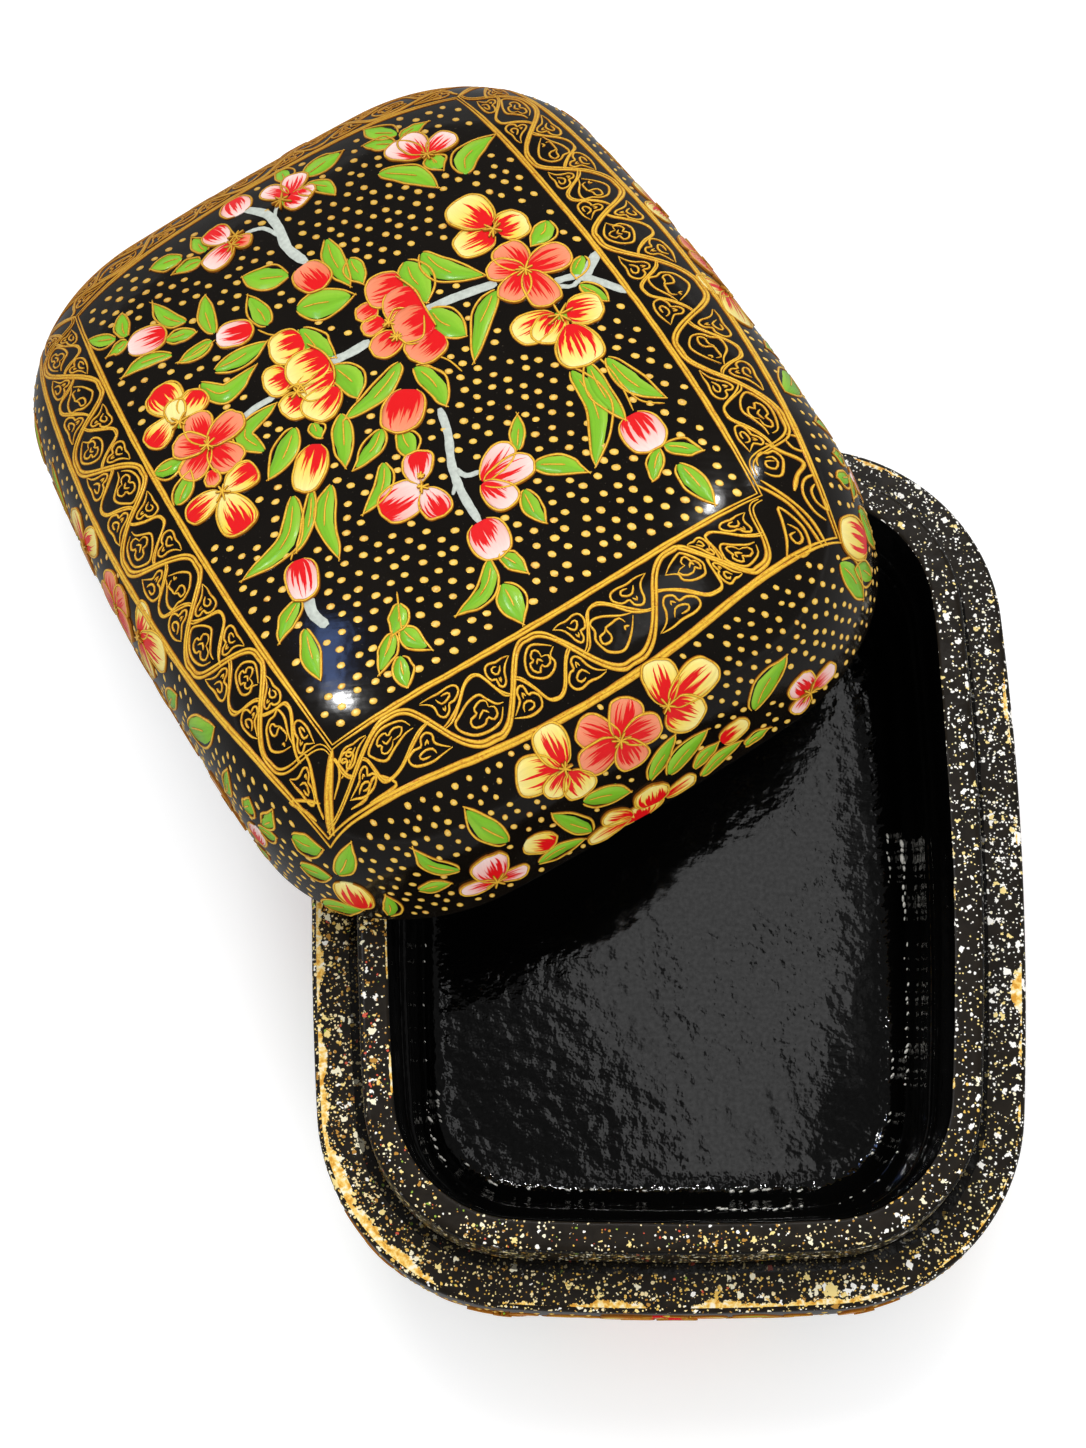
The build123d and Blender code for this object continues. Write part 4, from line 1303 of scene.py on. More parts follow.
class Decoration:
    """The paints of one group of flowers, and the places that they fill."""

    def __init__(self, prefix, seed):
        self.prefix = prefix
        self.seed = seed
        self.paints = {}
        self.filled = []

    def paint(self, name):
        """A paint of this group, made when it is first needed."""
        if name not in self.paints:
            piece = f"{self.prefix}_{name}"
            self.paints[name] = Paint(piece, self.seed + len(self.paints))
        return self.paints[name]

    def fill_in(self, line, width, shape=line_width):
        """Keep the circles that a mark fills, so that no dot lands on it."""
        for part in (0.02, 0.14, 0.32, 0.5, 0.68, 0.86, 0.98):
            place, _ = along_line(line, part)
            self.filled.append((place.x, place.y, width * 0.5 * shape(part) + 0.6))

    def free(self, x, y, margin):
        """True if no mark lies within the margin of a place."""
        return all(math.hypot(x - a, y - b) > r + margin for a, b, r in self.filled)

    def draw(self, canvas, leaves, petals, buds, middles, branches=(), stems=()):
        """Paint a group: branches, leaves, stems, petals, buds and middles, in that order."""
        self.branches(canvas, branches)
        self.leaves(canvas, leaves)
        self.stems(canvas, stems)
        self.petals(canvas, petals)
        self.petals(canvas, buds, round_width)
        self.middles(canvas, middles)

    def leaves(self, canvas, leaves):
        leaf, gold = self.paint("leaf"), self.paint("gold")
        for number, (width, *line) in enumerate(leaves):
            if len(line) == 2:
                (x0, y0), (x1, y1) = line
                bow = leaf.random.uniform(-0.09, 0.09)
                middle = ((x0 + x1) / 2 - (y1 - y0) * bow, (y0 + y1) / 2 + (x1 - x0) * bow)
                line = [line[0], middle, line[1]]
            lift = LEAF_LIFT + LEAF_STEP * (number % LEAF_STEPS)
            wave = leaf.random.uniform(0, 60)

            def shape(part, wave=wave):
                return leaf_width(part) * (1 + 0.3 * noise.noise(Vector((part * 4, wave, 0))))

            leaf.mark(canvas, line, width, lift, shape, cuts=14, cross=4)
            self.fill_in(line, width, leaf_width)
            # one side follows the leaf and the other swings wide of it
            loose = [0.05, gold.random.uniform(0.1, 0.75)]
            gold.random.shuffle(loose)
            for side in leaf_edges(line, width, loose, gold.random.uniform(0.2, 1.1)):
                gold.line(canvas, side, LEAF_EDGE, lift + 0.05, step=0.5, wander=0.14)
            vein = [tuple(along_line(line, part)[0]) for part in (0.16, 0.38, 0.6)]
            gold.line(canvas, vein, LEAF_VEIN, lift + 0.05, step=0.6, wander=0.2)

    def petals(self, canvas, petals, outline=petal_width):
        gold = self.paint("gold")
        for number, (paint, foot, tip, width, start, *drawn) in enumerate(petals):
            lift = PETAL_LIFT + PETAL_STEP * (number % PETAL_STEPS)
            line = [foot, tip]
            shape = round_width if width > 0.95 * math.dist(foot, tip) else outline
            self.paint(paint).mark(canvas, line, width, lift, shape, cuts=12, cross=6, start=start)
            self.fill_in(line, width, shape)
            loop = round_line(line, width, shape, gold.random.uniform(0.02, 0.16))
            first, last = drawn or (0, len(loop))
            if last > first:
                gold.line(
                    canvas, loop[first:last], PETAL_EDGE, lift + 0.03, step=0.5, wander=0.1
                )

    def middles(self, canvas, middles):
        gold = self.paint("gold")
        for (x, y), size, paint in middles:
            self.paint(paint).dot(canvas, x, y, size, size * 0.85, 0.4, MIDDLE_LIFT)
            self.filled.append((x, y, size * 0.5))
            # short strokes out of the middle
            for number in range(7):
                turn = number * math.tau / 7 + gold.random.uniform(-0.3, 0.3)
                reach = size * gold.random.uniform(0.6, 1.0)
                tip = (x + reach * math.cos(turn), y + reach * math.sin(turn))
                gold.line(canvas, ((x, y), tip), SPOKE, SPOKE_LIFT, step=0.5)

    def branches(self, canvas, branches):
        for width, *points in branches:
            self.paint("branch").line(canvas, points, width, BRANCH_LIFT, shape=stem_width)
            self.fill_in(points, width)

    def stems(self, canvas, stems, lift=STEM_LIFT):
        for width, *points in stems:
            self.paint("gold").line(canvas, points, width, lift, step=0.6)

    def finish(self, place, body, colours):
        """Make one piece of every paint."""
        finishes = paint_finishes(colours)
        slots = {"gold": "gold_paint", "leaf": "leaf_paint", "branch": "leaf_paint"}
        for name, paint in self.paints.items():
            paint.finish(place, body, slots.get(name, "petal_paint"), finishes[name])


# ---------------------------------------------------------------- operators

def settings(context):
    """The values a user would change: the sizes, the lid's pose and the colours."""
    scene = context.scene
    return scene.papier_mache_sizes, scene.papier_mache_pose, scene.papier_mache_paints


# The stage's floor: from its middle to its edges, and the gap below the box
FLOOR_REACH = 3.0
FLOOR_GAP = 0.0001
# Lamps: name, place, where it points, width, height, which way its height stands, brightness
# of its face, colour, and whether the lacquer mirrors it; the others only light the paint
LAMPS = (
    ("overhead_strip", (0.0373, 0.0495, 0.60), (0.0373, 0.0495, 0.0), 0.067, 0.25,
     (-0.404, 0.915, 0), 1.12, "#ffffff", True),
    ("overhead_fringe", (-0.029, 0.055, 0.60), (-0.029, 0.055, 0.0), 0.049, 0.055,
     (-0.404, 0.915, 0), 0.11, "#ffffff", True),
    ("blue_window", (-0.902, 0.696, 1.087), (-0.044, 0.012, 0.064), 0.11, 0.40,
     (-0.075, -0.22, 0.13), 7.0, "#8cb0ff", True),
    ("left_key", (-0.908, 0.439, 1.211), (-0.044, 0.012, 0.064), 0.04, 0.04,
     (0, 0, 1), 560.0, "#ffffff", True),
    ("right_key", (0.441, 1.011, 1.129), (0.010, 0.042, 0.068), 0.05, 0.05,
     (0, 0, 1), 130.0, "#ffffff", True),
    ("far_key", (0.056, 0.880, 1.310), (0.0045, 0.038, 0.069), 0.05, 0.05,
     (0, 0, 1), 260.0, "#ffffff", True),
    ("north_window", (-0.15, 1.10, 1.58), (0.0, 0.0, 0.03), 1.40, 1.00,
     (0, 0, 1), 4.6, "#fffdf8", False),
    ("front_fill", (0.35, -1.15, 0.85), (0.0, 0.0, 0.03), 0.60, 0.60,
     (0, 0, 1), 4.6, "#fffdf8", False),
)


def paper_sweep():
    """White paper with a soft light of its own, under and behind the box."""
    material, tree = new_finish("white_paper_sweep")
    rays = add_node(tree, "LightPath")
    seen = add_node(tree, "Math", {
        0: rays.outputs["Is Camera Ray"], 1: rays.outputs["Is Glossy Ray"],
    }, operation="MAXIMUM")
    seen = add_node(tree, "Math", {
        0: seen, 1: rays.outputs["Is Transmission Ray"],
    }, operation="MAXIMUM")
    # seen straight on, the sweep's own light is most of its white and keeps shadows pale;
    # black lacquer shows it darker than it is
    plain = add_node(tree, "MapRange", {
        "Value": rays.outputs["Is Camera Ray"], "To Min": 0.74, "To Max": 0.70,
    })
    tone = add_node(tree, "Mix", {
        "Factor": rays.outputs["Is Glossy Ray"], "A": plain, "B": 0.16,
    }, data_type="FLOAT")
    # painted shadow: the sweep's own light is turned down close to the box, so its shadow is
    # deepest there, and turned up far away, where the lamps reach less
    spot = add_node(tree, "TexCoord")
    narrow = add_node(tree, "VectorMath", {
        0: spot.outputs["Object"], 1: (1.45, 1, 1),
    }, operation="MULTIPLY")
    apart = add_node(tree, "VectorMath", {0: narrow}, operation="LENGTH")
    near = add_node(tree, "MapRange", {
        "Value": apart, "From Min": 0.066, "From Max": 0.094, "To Min": 0.41, "To Max": 0.51,
    })
    far = add_node(tree, "MapRange", {
        "Value": apart, "From Min": 0.35, "From Max": 1.2, "To Max": 0.12,
    })
    bright = add_node(tree, "Math", {0: near, 1: far})
    strength = add_node(tree, "Mix", {
        "Factor": rays.outputs["Is Glossy Ray"], "A": bright, "B": 0.10,
    }, data_type="FLOAT")
    cool = add_node(tree, "VectorMath", {0: (0.95, 0.965, 1.0), "Scale": tone}, operation="SCALE")
    paper = add_node(tree, "BsdfDiffuse", {"Color": cool})
    glow = add_node(tree, "Emission", {"Color": (1, 1, 1, 1), "Strength": strength})
    glowing = add_node(tree, "AddShader", {0: paper, 1: glow})
    mixed = add_node(tree, "MixShader", {0: seen, 1: paper, 2: glowing})
    close_finish(tree, mixed)
    return material


def studio():
    """White near the horizon and a dim ceiling, so that black lacquer stays black."""
    world = bpy.data.worlds.new("studio")
    world.use_nodes = True
    tree = world.node_tree
    tree.nodes.clear()
    rays = add_node(tree, "LightPath")
    way = add_node(tree, "TexCoord")
    parts = add_node(tree, "SeparateXYZ", {"Vector": way.outputs["Generated"]})
    low = add_node(tree, "MapRange", {
        "Value": parts.outputs["Z"], "From Min": -0.02, "From Max": 0.06, "To Min": 0.6,
        "To Max": 0.12,
    })
    mirrored = add_node(tree, "Math", {
        0: rays.outputs["Is Glossy Ray"], 1: rays.outputs["Is Transmission Ray"],
    }, operation="MAXIMUM")
    glossy = add_node(tree, "Mix", {"Factor": mirrored, "A": 0.69, "B": low}, data_type="FLOAT")
    strength = add_node(tree, "Mix", {
        "Factor": rays.outputs["Is Camera Ray"], "A": glossy, "B": 1.0,
    }, data_type="FLOAT")
    sky = add_node(tree, "Background", {"Color": (1, 1, 1, 1), "Strength": strength})
    add_node(tree, "OutputWorld", {"Surface": sky})
    return world


def hang_lamp(name, place, aim, width, height, stands, glare, tone, mirrored):
    """A lamp of the table above."""
    light = bpy.data.lights.new(name, "AREA")
    light.shape = "RECTANGLE"
    light.size = width
    light.size_y = height
    light.color = linear(tone)
    # watts for the brightness that the lamp's face shows
    light.energy = glare * math.pi * width * height
    back = (Vector(place) - Vector(aim)).normalized()
    right = Vector(stands).cross(back).normalized()
    turned = Matrix((right, back.cross(right), back)).transposed()
    lamp = bpy.data.objects.new(name, light)
    lamp.location = place
    lamp.rotation_euler = turned.to_euler()
    lamp.visible_glossy = mirrored
    lamp.visible_diffuse = not mirrored
    bpy.context.scene.collection.objects.link(lamp)


class PAPIERMACHE_OT_stage(bpy.types.Operator):
    """Pale floor, soft studio light and the camera"""
    bl_idname = "papier_mache.make_stage"
    bl_label = "Make Stage"

    def execute(self, context):
        scene = context.scene
        scene.view_settings.view_transform = "Standard"
        floor_mesh = bpy.data.meshes.new("floor")
        bm = bmesh.new()
        bmesh.ops.create_grid(bm, x_segments=1, y_segments=1, size=FLOOR_REACH)
        bmesh.ops.translate(bm, vec=(0, 0, -FLOOR_GAP), verts=bm.verts)
        bm.to_mesh(floor_mesh)
        bm.free()
        floor_mesh.materials.append(paper_sweep())
        floor = bpy.data.objects.new("floor", floor_mesh)
        scene.collection.objects.link(floor)
        scene.world = studio()
        for lamp in LAMPS:
            hang_lamp(*lamp)
        camera = bpy.data.objects.new("camera", bpy.data.cameras.new("camera"))
        camera.data.sensor_width = 36
        camera.data.lens = 76.16
        camera.location = (-0.01684, -0.11589, 0.45276)
        camera.rotation_euler = (0.3104, 0.0023, 0.0008)
        camera.data.clip_start = 0.01
        scene.collection.objects.link(camera)
        scene.camera = camera
        return {"FINISHED"}


def base_finishes(colours):
    """The finishes of the outside, the rims and the inside, in that order."""
    return [
        find_finish("varnished_black_distemper", lid_lacquer, colours),
        find_finish("rubbed_lacquer_with_leaf_flecks", rim_lacquer, colours),
        find_finish("thick_black_gloss_lacquer", inside_lacquer, colours),
    ]


def mark_wear(bm, least):
    """Keep with each vertex of a mesh in mm how much the box is worn there."""
    wear = bm.verts.layers.float.new("wear")
    for vert in bm.verts:
        vert[wear] = least
        for x, y, reach, amount in WORN_SPOTS:
            apart = math.hypot(vert.co.x - x, vert.co.y - y) / reach
            if apart < 1:
                vert[wear] = max(vert[wear], amount * (1 - apart * apart))


def leaf_crumbs_and_glints(colours):
    """Silver leaf crumbs in the lacquer, partly painted glints; they look white and a little shiny.
    """
    material, tree = new_finish("silver_leaf_crumbs")
    shader = add_node(tree, "BsdfPrincipled", {
        "Base Color": toned(colours.silver_leaf, 1), "Metallic": 0.2, "Roughness": 0.3,
    })
    close_finish(tree, shader)
    return material


def lay_crumbs_and_glints(seam, fillet):
    """Crumbs and painted glints in mm along the seam under the collar and the rounding round the
    floor.
    """
    chance = random.Random(83)
    bm = bmesh.new()
    for line, first, last, count, size in LEAF_CRUMBS_AND_GLINTS:
        reach, height = (seam, fillet)[line]
        for number in range(count):
            turn = math.radians(first + (last - first) * (number + chance.random()) / count)
            out = reach(turn) + chance.uniform(-0.35, 0.25)
            scale = size * chance.uniform(0.3, 1)
            shape = Matrix.Diagonal((scale * 0.5, scale * chance.uniform(0.6, 1.5), scale * 0.4, 1))
            place = Matrix.Translation(
                (math.cos(turn) * out, math.sin(turn) * out, height + chance.uniform(-0.2, 0.3))
            )
            bmesh.ops.create_icosphere(
                bm, subdivisions=1, radius=1, matrix=place @ Matrix.Rotation(turn, 4, "Z") @ shape
            )
    bmesh.ops.scale(bm, vec=(MM, MM, MM), verts=bm.verts)
    return bm


class PAPIERMACHE_OT_base(bpy.types.Operator):
    """Base bowl: flat underside, rounded sides, flecked ledge and glossy cavity"""
    bl_idname = "papier_mache.make_base"
    bl_label = "Make Base"

    def execute(self, context):
        sizes, _, colours = settings(context)
        rim = rim_outline(sizes)
        bowl = base_pillow(sizes)
        ledge = sizes.ledge_height / MM
        flat_share = 1 - sizes.underside_inset / sizes.half_width
        foot_inset = (sizes.ledge_width + sizes.collar_thickness + sizes.collar_draft) / MM
        mouth = rim_outline(sizes, foot_inset)
        floor = Outline(
            sizes.half_width / MM - foot_inset - FLOOR_INSETS[0],
            sizes.half_length / MM - foot_inset - FLOOR_INSETS[1],
            sizes.side_bow_radius / MM - foot_inset, sizes.end_bow_radius / MM - foot_inset,
            FLOOR_CORNER,
        )
        floor_height = sizes.floor_thickness / MM
        seat = ledge - sizes.collar_seat_depth / MM
        depth = seat - floor_height
        rings = [(scaled(rim, share), 0.0, OUTSIDE, PLAIN) for share in (0.02, 0.25, 0.5, 0.66)]
        # rounding between the underside and the bowl
        start = bowl.share(rim.reach(0) * flat_share, 0)
        for less, height in ((0.055, 0.0), (0.03, 0.12), (0.008, 0.6)):
            rings.append((scaled(rim, start - less), height, OUTSIDE, PLAIN))
        # the side, without what the roundings at its two ends take up
        for i in range(1, 26):
            drop = ledge * (1 - i / 26)
            share = (1 - (drop / bowl.height) ** BASE_ROUNDNESS) ** (1 / BASE_ROUNDNESS)
            if ledge - drop > 1.2 and drop > 0.9:
                rings.append((scaled(rim, share), ledge - drop, OUTSIDE, BOWL_SIDE))
        # the worn edge of the ledge
        edge = sizes.rim_round / MM
        for step, bend in enumerate(quarter_round(5)):
            reach = rim_outline(sizes, edge * (1 - math.cos(bend))).reach
            height = ledge - edge + edge * math.sin(bend)
            rings.append((reach, height, RIM if step > 1 else OUTSIDE, 0.05 + 0.1 * step))
        # the ledge runs on 0.3 mm under the collar
        for step in range(1, 15):
            inset = edge + (sizes.ledge_width / MM + 0.3 - edge) * step / 14
            rings.append((rim_outline(sizes, inset).reach, ledge, RIM, inset))
        # the wall of the cavity, down from the foot of the collar
        rings.append((mouth.reach, seat + 0.5, INSIDE, BEADED))
        for part, inward in SHOULDER:
            height = floor_height + depth * part
            rings.append((between(floor, mouth, part, inward), height, INSIDE, BEADED))
        # a quarter round from the wall to the floor
        for part in (0.1, 0.25, 0.4, 0.55, 0.7, 0.85, 1.0):
            reach = between(floor, mouth, 0.2 * (1 - part) ** 2, 2.6 * part ** 2)
            height = floor_height + depth * 0.2 * (1 - part) ** 2
            rings.append((reach, height, INSIDE, BEADED))
        for share in (0.88, 0.8, 0.7, 0.6, 0.5, 0.4, 0.3, 0.2, 0.1, 0.02):
            rings.append((scaled(floor, share), floor_height, INSIDE, PLAIN))
        bm = skin_rings(rings, ring_turns(rim, AROUND))
        mark_wear(bm, 0.0)
        bmesh.ops.scale(bm, vec=(MM, MM, MM), verts=bm.verts)
        roughen(bm, *BASE_UNEVENNESS)
        for vert in bm.verts:
            vert.co.z = max(vert.co.z, 0.0)
        piece = finish_piece("base_bowl", bm, "base", "base_lacquer", base_finishes(colours))
        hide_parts(*BASE_NODES)
        # pale crumbs along the seam and round the floor, partly leaf and partly painted glints
        crumbs = lay_crumbs_and_glints(
            (between(floor, mouth, 0.76, 1.05), floor_height + depth * 0.77),
            (between(floor, mouth, 0.03, 0.9), floor_height + depth * 0.03),
        )
        crumb_and_glint_finish = find_finish("silver_leaf_crumbs", leaf_crumbs_and_glints, colours)
        finish_piece("cavity_leaf_crumbs", crumbs, "base", "base_lacquer", [crumb_and_glint_finish])
        return {"FINISHED"}


class PAPIERMACHE_OT_collar(bpy.types.Operator):
    """Collar: the strip glued inside the base's rim, flecked on top and glossy inside"""
    bl_idname = "papier_mache.make_collar"
    bl_label = "Make Collar"

    def execute(self, context):
        sizes, _, colours = settings(context)
        ledge = sizes.ledge_height / MM
        top = ledge + sizes.collar_rise / MM
        seat = ledge - sizes.collar_seat_depth / MM
        outer = sizes.ledge_width / MM
        inner = outer + sizes.collar_thickness / MM
        foot = inner + sizes.collar_draft / MM
        # inset, height, finish and band; the band also darkens the foot and the outer edge
        rings = [(outer, seat, OUTSIDE, COLLAR_FOOT), (outer, ledge - 1, OUTSIDE, COLLAR_FOOT)]
        # the outer face, and then over the top
        for rise in (0.0, 0.8, 1.6, 2.0):
            rings.append((outer, ledge + rise, RIM, COLLAR_FOOT - rise * 2))
        for rise in (3.2, 4.8, 6.0, 6.4):
            rings.append((outer, ledge + rise, RIM, 3.0))
        outer_round, inner_round = 1.0, 0.7
        flat = inner - outer - (outer_round + inner_round)
        for bend, band in zip(quarter_round(6, 1), (5.5, 5.8, 5.6, 4.6, 3.0, COLLAR_TOP)):
            inset = outer + outer_round * (1 - math.cos(bend))
            rings.append((inset, top - outer_round + outer_round * math.sin(bend), RIM, band))
        for step in range(1, 7):
            rings.append((outer + outer_round + flat * step / 6, top, RIM, COLLAR_TOP))
        for bend, finish in zip(quarter_round(5, 1), (RIM, RIM, INSIDE, INSIDE, INSIDE)):
            inset = inner - inner_round + inner_round * math.sin(bend)
            rings.append((inset, top - inner_round + inner_round * math.cos(bend), finish, 0.6))
        for fall, sag in (*RUNS, (top - seat, 0)):
            inset = inner + (foot - inner) * fall / (top - seat) + sag
            rings.append((inset, top - fall, INSIDE, BEADED))
        outlines = [
            (rim_outline(sizes, inset).reach, height, finish, band)
            for inset, height, finish, band in rings
        ]
        # the skin closes on its first ring, so its caps go
        outlines.append(outlines[0])
        bm = skin_rings(outlines, ring_turns(rim_outline(sizes), AROUND))
        caps = [face for face in bm.faces if len(face.verts) > 4]
        bmesh.ops.delete(bm, geom=caps, context="FACES_ONLY")
        bmesh.ops.remove_doubles(bm, verts=bm.verts, dist=0.0001)
        bmesh.ops.recalc_face_normals(bm, faces=bm.faces)
        mark_wear(bm, -0.12)
        bmesh.ops.scale(bm, vec=(MM, MM, MM), verts=bm.verts)
        roughen(bm, *BASE_UNEVENNESS)
        roughen(bm, *COLLAR_UNEVENNESS)
        piece = finish_piece("collar_strip", bm, "base", "collar_lacquer", base_finishes(colours))
        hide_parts(*COLLAR_NODES)
        return {"FINISHED"}


class PAPIERMACHE_OT_lid(bpy.types.Operator):
    """Domed lid shell, lying where it leans"""
    bl_idname = "papier_mache.make_lid"
    bl_label = "Make Lid"

    def execute(self, context):
        sizes, pose, colours = settings(context)
        rim = rim_outline(sizes)
        dome = lid_pillow(sizes)
        rim_width = (sizes.ledge_width - sizes.collar_clearance) / MM
        hollow_rim = rim_outline(sizes, rim_width)
        hollow = Pillow(hollow_rim, (sizes.lid_height - sizes.lid_roof) / MM, LID_ROUNDNESS, 0)
        rings = []
        # inside, from its crown down to the rim
        for step in range(30):
            bend = math.pi / 2 * (1 - step / 30) - 0.008
            share, rise = hollow.profile_point(bend)
            rings.append((scaled(hollow_rim, share), rise, INSIDE, PLAIN))
        # the rim: its rounded inner edge, its flat face and its worn outer edge
        inner_round = 0.6
        for bend in quarter_round(4):
            inset = rim_width - inner_round * (1 - math.cos(bend))
            height = inner_round * (1 - math.sin(bend))
            rings.append((rim_outline(sizes, inset).reach, height, INSIDE, 2.0))
        for inset in (4.6, 3.2, 1.9):
            rings.append((rim_outline(sizes, inset).reach, 0.0, RIM, inset))
        edge = sizes.rim_round / MM
        for bend, finish in zip(quarter_round(5), (RIM, RIM, RIM, OUTSIDE, OUTSIDE, OUTSIDE)):
            inset = edge * (1 - math.sin(bend))
            height = edge * (1 - math.cos(bend))
            rings.append((rim_outline(sizes, inset).reach, height, finish, 0.3))
        # outside, close steps on the side and even steps over the crown
        bends = [0.03 + 0.55 * i / 22 for i in range(23)]
        bends += [0.58 + (math.pi / 2 - 0.585) * (i / 56) for i in range(1, 57)]
        for bend in bends:
            share, rise = dome.profile_point(bend)
            rings.append((scaled(rim, share), rise, OUTSIDE, PLAIN))
        bm = skin_rings(rings, ring_turns(rim, AROUND))
        # the lower of the two caps is the hollow's
        for face in bm.faces:
            if len(face.verts) > 4 and face.calc_center_median().z < sizes.lid_height / MM - 1:
                face.material_index = INSIDE
        # only the outside is uneven, down to the worn edge
        for vert in bm.verts:
            if vert.co.z > 0.5 and dome.reached(*vert.co) > 0.97:
                vert.co += dome.normal(*vert.co) * dome.handmade(vert.co)
        bmesh.ops.transform(bm, matrix=lid_place(pose), verts=bm.verts)
        bmesh.ops.recalc_face_normals(bm, faces=bm.faces)
        piece = finish_piece("lid_dome", bm, "lid", "lid_lacquer", base_finishes(colours))
        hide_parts(*LID_NODES)
        return {"FINISHED"}


def vine_line(side, turns, depths, offset):
    """Points of one of the vine's two lines, offset from its middle."""
    points = []
    for i in range(len(turns) - 1):
        span = turns[i + 1] - turns[i]
        swing = depths[i + 1] - depths[i]
        for step in range(8 if i < len(turns) - 2 else 9):
            # straight in the middle and flat at the turns
            way = min(max((step / 8 - 0.08) / 0.84, 0), 1)
            part = turns[i] + span * step / 8
            depth = depths[i] + swing * (0.5 - 0.5 * math.cos(math.pi * way))
            steep = swing * math.sin(math.pi * way) / max(abs(span), 0.01) / 4
            across = 1 / math.hypot(1, steep)
            points.append(tuple(border_place(
                side, part - offset * 0.22 * steep * across, depth + offset * across * 1.08,
            )))
    return points


def fill_bay(paint, canvas, side, turns, depth):
    """Draw the chevron, heart and two trefoils of one bay, or half of them at a corner."""
    before, here, after = turns
    inward = depth > 0.5
    swap = paint.random.choice((-1, 1))
    grow = paint.random.uniform(0.94, 1.06)

    def place(x, v):
        part = here + x * (after - here if x > 0 else here - before)
        return tuple(border_place(side, part, 1 - v if inward else v))

    def draw(shape, width, mirror=1, wander=0.06):
        points = [
            place(mirror * x * grow, v) for x, v in shape
            if (before is not None or mirror * x > 0) and (after is not None or mirror * x < 0)
        ]
        if len(points) > 1:
            paint.line(canvas, points, width, BORDER_LIFT, step=0.45, wander=wander)

    second = [(x * 0.95, v - 0.018) for x, v in CHEVRON]
    for shape, width in zip((CHEVRON, second), CHEVRON_WIDTHS):
        draw(shape, width, wander=0.1)
    if before is not None and after is not None:
        for shape, width in zip(paint.random.choice(HEARTS), HEART_WIDTHS):
            draw(shape, width, swap)
    for mirror in (-1, 1):
        for shape, width in zip(paint.random.choice(TREFOILS), TREFOIL_WIDTHS):
            draw(shape, width, mirror)


class PAPIERMACHE_OT_border(bpy.types.Operator):
    """Gold border on the lid: rails, mitres, vine and the ornaments in its bays"""
    bl_idname = "papier_mache.paint_border"
    bl_label = "Paint Border"

    def execute(self, context):
        sizes, pose, colours = settings(context)
        canvas = lid_pillow(sizes).on_top
        gold = paint_finishes(colours)["gold"]
        rails = Paint("border_rails", 11)
        parts = [i / 20 - 1 for i in range(41)]
        for side in range(4):
            # each rail is drawn twice, a little to either side of its middle
            for rail, offsets in ((INNER_RAIL, (-0.2, 0.22)), (OUTER_RAIL, (-0.17, 0.18))):
                for offset in offsets:
                    grown = (rail[0] + offset, rail[1] + offset, *rail[2:])
                    points = [tuple(bowed(grown, side, part)) for part in parts]
                    rails.line(canvas, points, RAIL_WIDTH, BORDER_LIFT, step=0.7, wander=0.04)
            if side in (1, 2):
                # mitre line from the inner corner to the outer one
                for shift in (-0.02, 0.02):
                    points = [
                        tuple(border_place(side, 1.0 + shift * d, d)) for d in (0.02, 0.5, 0.98)
                    ]
                    rails.line(canvas, points, MITRE_WIDTH, CORNER_LIFT, wander=0.1)
        for width, *points in CORNER_LINES:
            rails.line(canvas, points, width, CORNER_LIFT, step=0.5, wander=0.08)
        rails.finish(lid_place(pose), "lid", "gold_paint", gold)

        vine = Paint("border_vine", 23)
        ornaments = Paint("border_ornaments", 31)
        for side, (outer_first, turns) in enumerate(VINE_TURNS):
            depths = [0.90 if (i % 2 == 0) == outer_first else 0.10 for i in range(len(turns))]
            for offset in (-0.021, 0.021):
                points = vine_line(side, turns, depths, offset)
                vine.line(canvas, points, VINE_WIDTH, VINE_LIFT, step=0.45, wander=0.05)
            for i, turn in enumerate(turns):
                before = turns[i - 1] if i else None
                after = turns[i + 1] if i + 1 < len(turns) else None
                if (before is not None and after is not None) or abs(turn) == 1:
                    fill_bay(ornaments, canvas, side, (before, turn, after), depths[i])
        vine.finish(lid_place(pose), "lid", "gold_paint", gold)
        ornaments.finish(lid_place(pose), "lid", "gold_paint", gold)
        return {"FINISHED"}


def scatter_dots(paint, canvas, free, rows, columns, pitch, row_pitch, shape):
    """Staggered rows of dots wherever free allows; shape gives their length, width and turn."""
    for row in range(*rows):
        for column in range(*columns):
            x = (column + (row % 2) * 0.5) * pitch + paint.random.uniform(-0.4, 0.4)
            y = row * row_pitch + paint.random.uniform(-0.35, 0.35)
            if free(x, y):
                long, wide, turn = shape(x, y)
                paint.dot(canvas, x, y, long, wide, turn, DOT_LIFT)


class PAPIERMACHE_OT_panel_flowers(bpy.types.Operator):
    """Flower spray and dots in the lid's panel"""
    bl_idname = "papier_mache.paint_panel"
    bl_label = "Paint Panel"

    def execute(self, context):
        sizes, pose, colours = settings(context)
        canvas = lid_pillow(sizes).on_top
        spray = Decoration("panel", 101)
        spray.draw(
            canvas, SPRAY_LEAVES, SPRAY_PETALS, SPRAY_BUDS, SPRAY_MIDDLES,
            SPRAY_BRANCHES, SPRAY_STEMS,
        )
        spray.stems(canvas, SPRAY_FOLDS, FOLD_LIFT)
        spray.finish(lid_place(pose), "lid", colours)
        dots = Paint("panel_dots", 57)
        long, wide, pitch, row_pitch = PANEL_DOTS

        def free(x, y):
            return inside_rail(INNER_RAIL, x, y, 1.3) and spray.free(x, y, 0.12)

        def shape(x, y):
            turn = math.radians(-20 - 45 * (x + 30) / 60) + dots.random.uniform(-0.25, 0.25)
            size = dots.random.uniform(0.9, 1.1)
            return long * size, wide * size, turn

        scatter_dots(dots, canvas, free, (-21, 24), (-15, 16), pitch, row_pitch, shape)
        dots.finish(lid_place(pose), "lid", "gold_paint", paint_finishes(colours)["gold"])
        return {"FINISHED"}


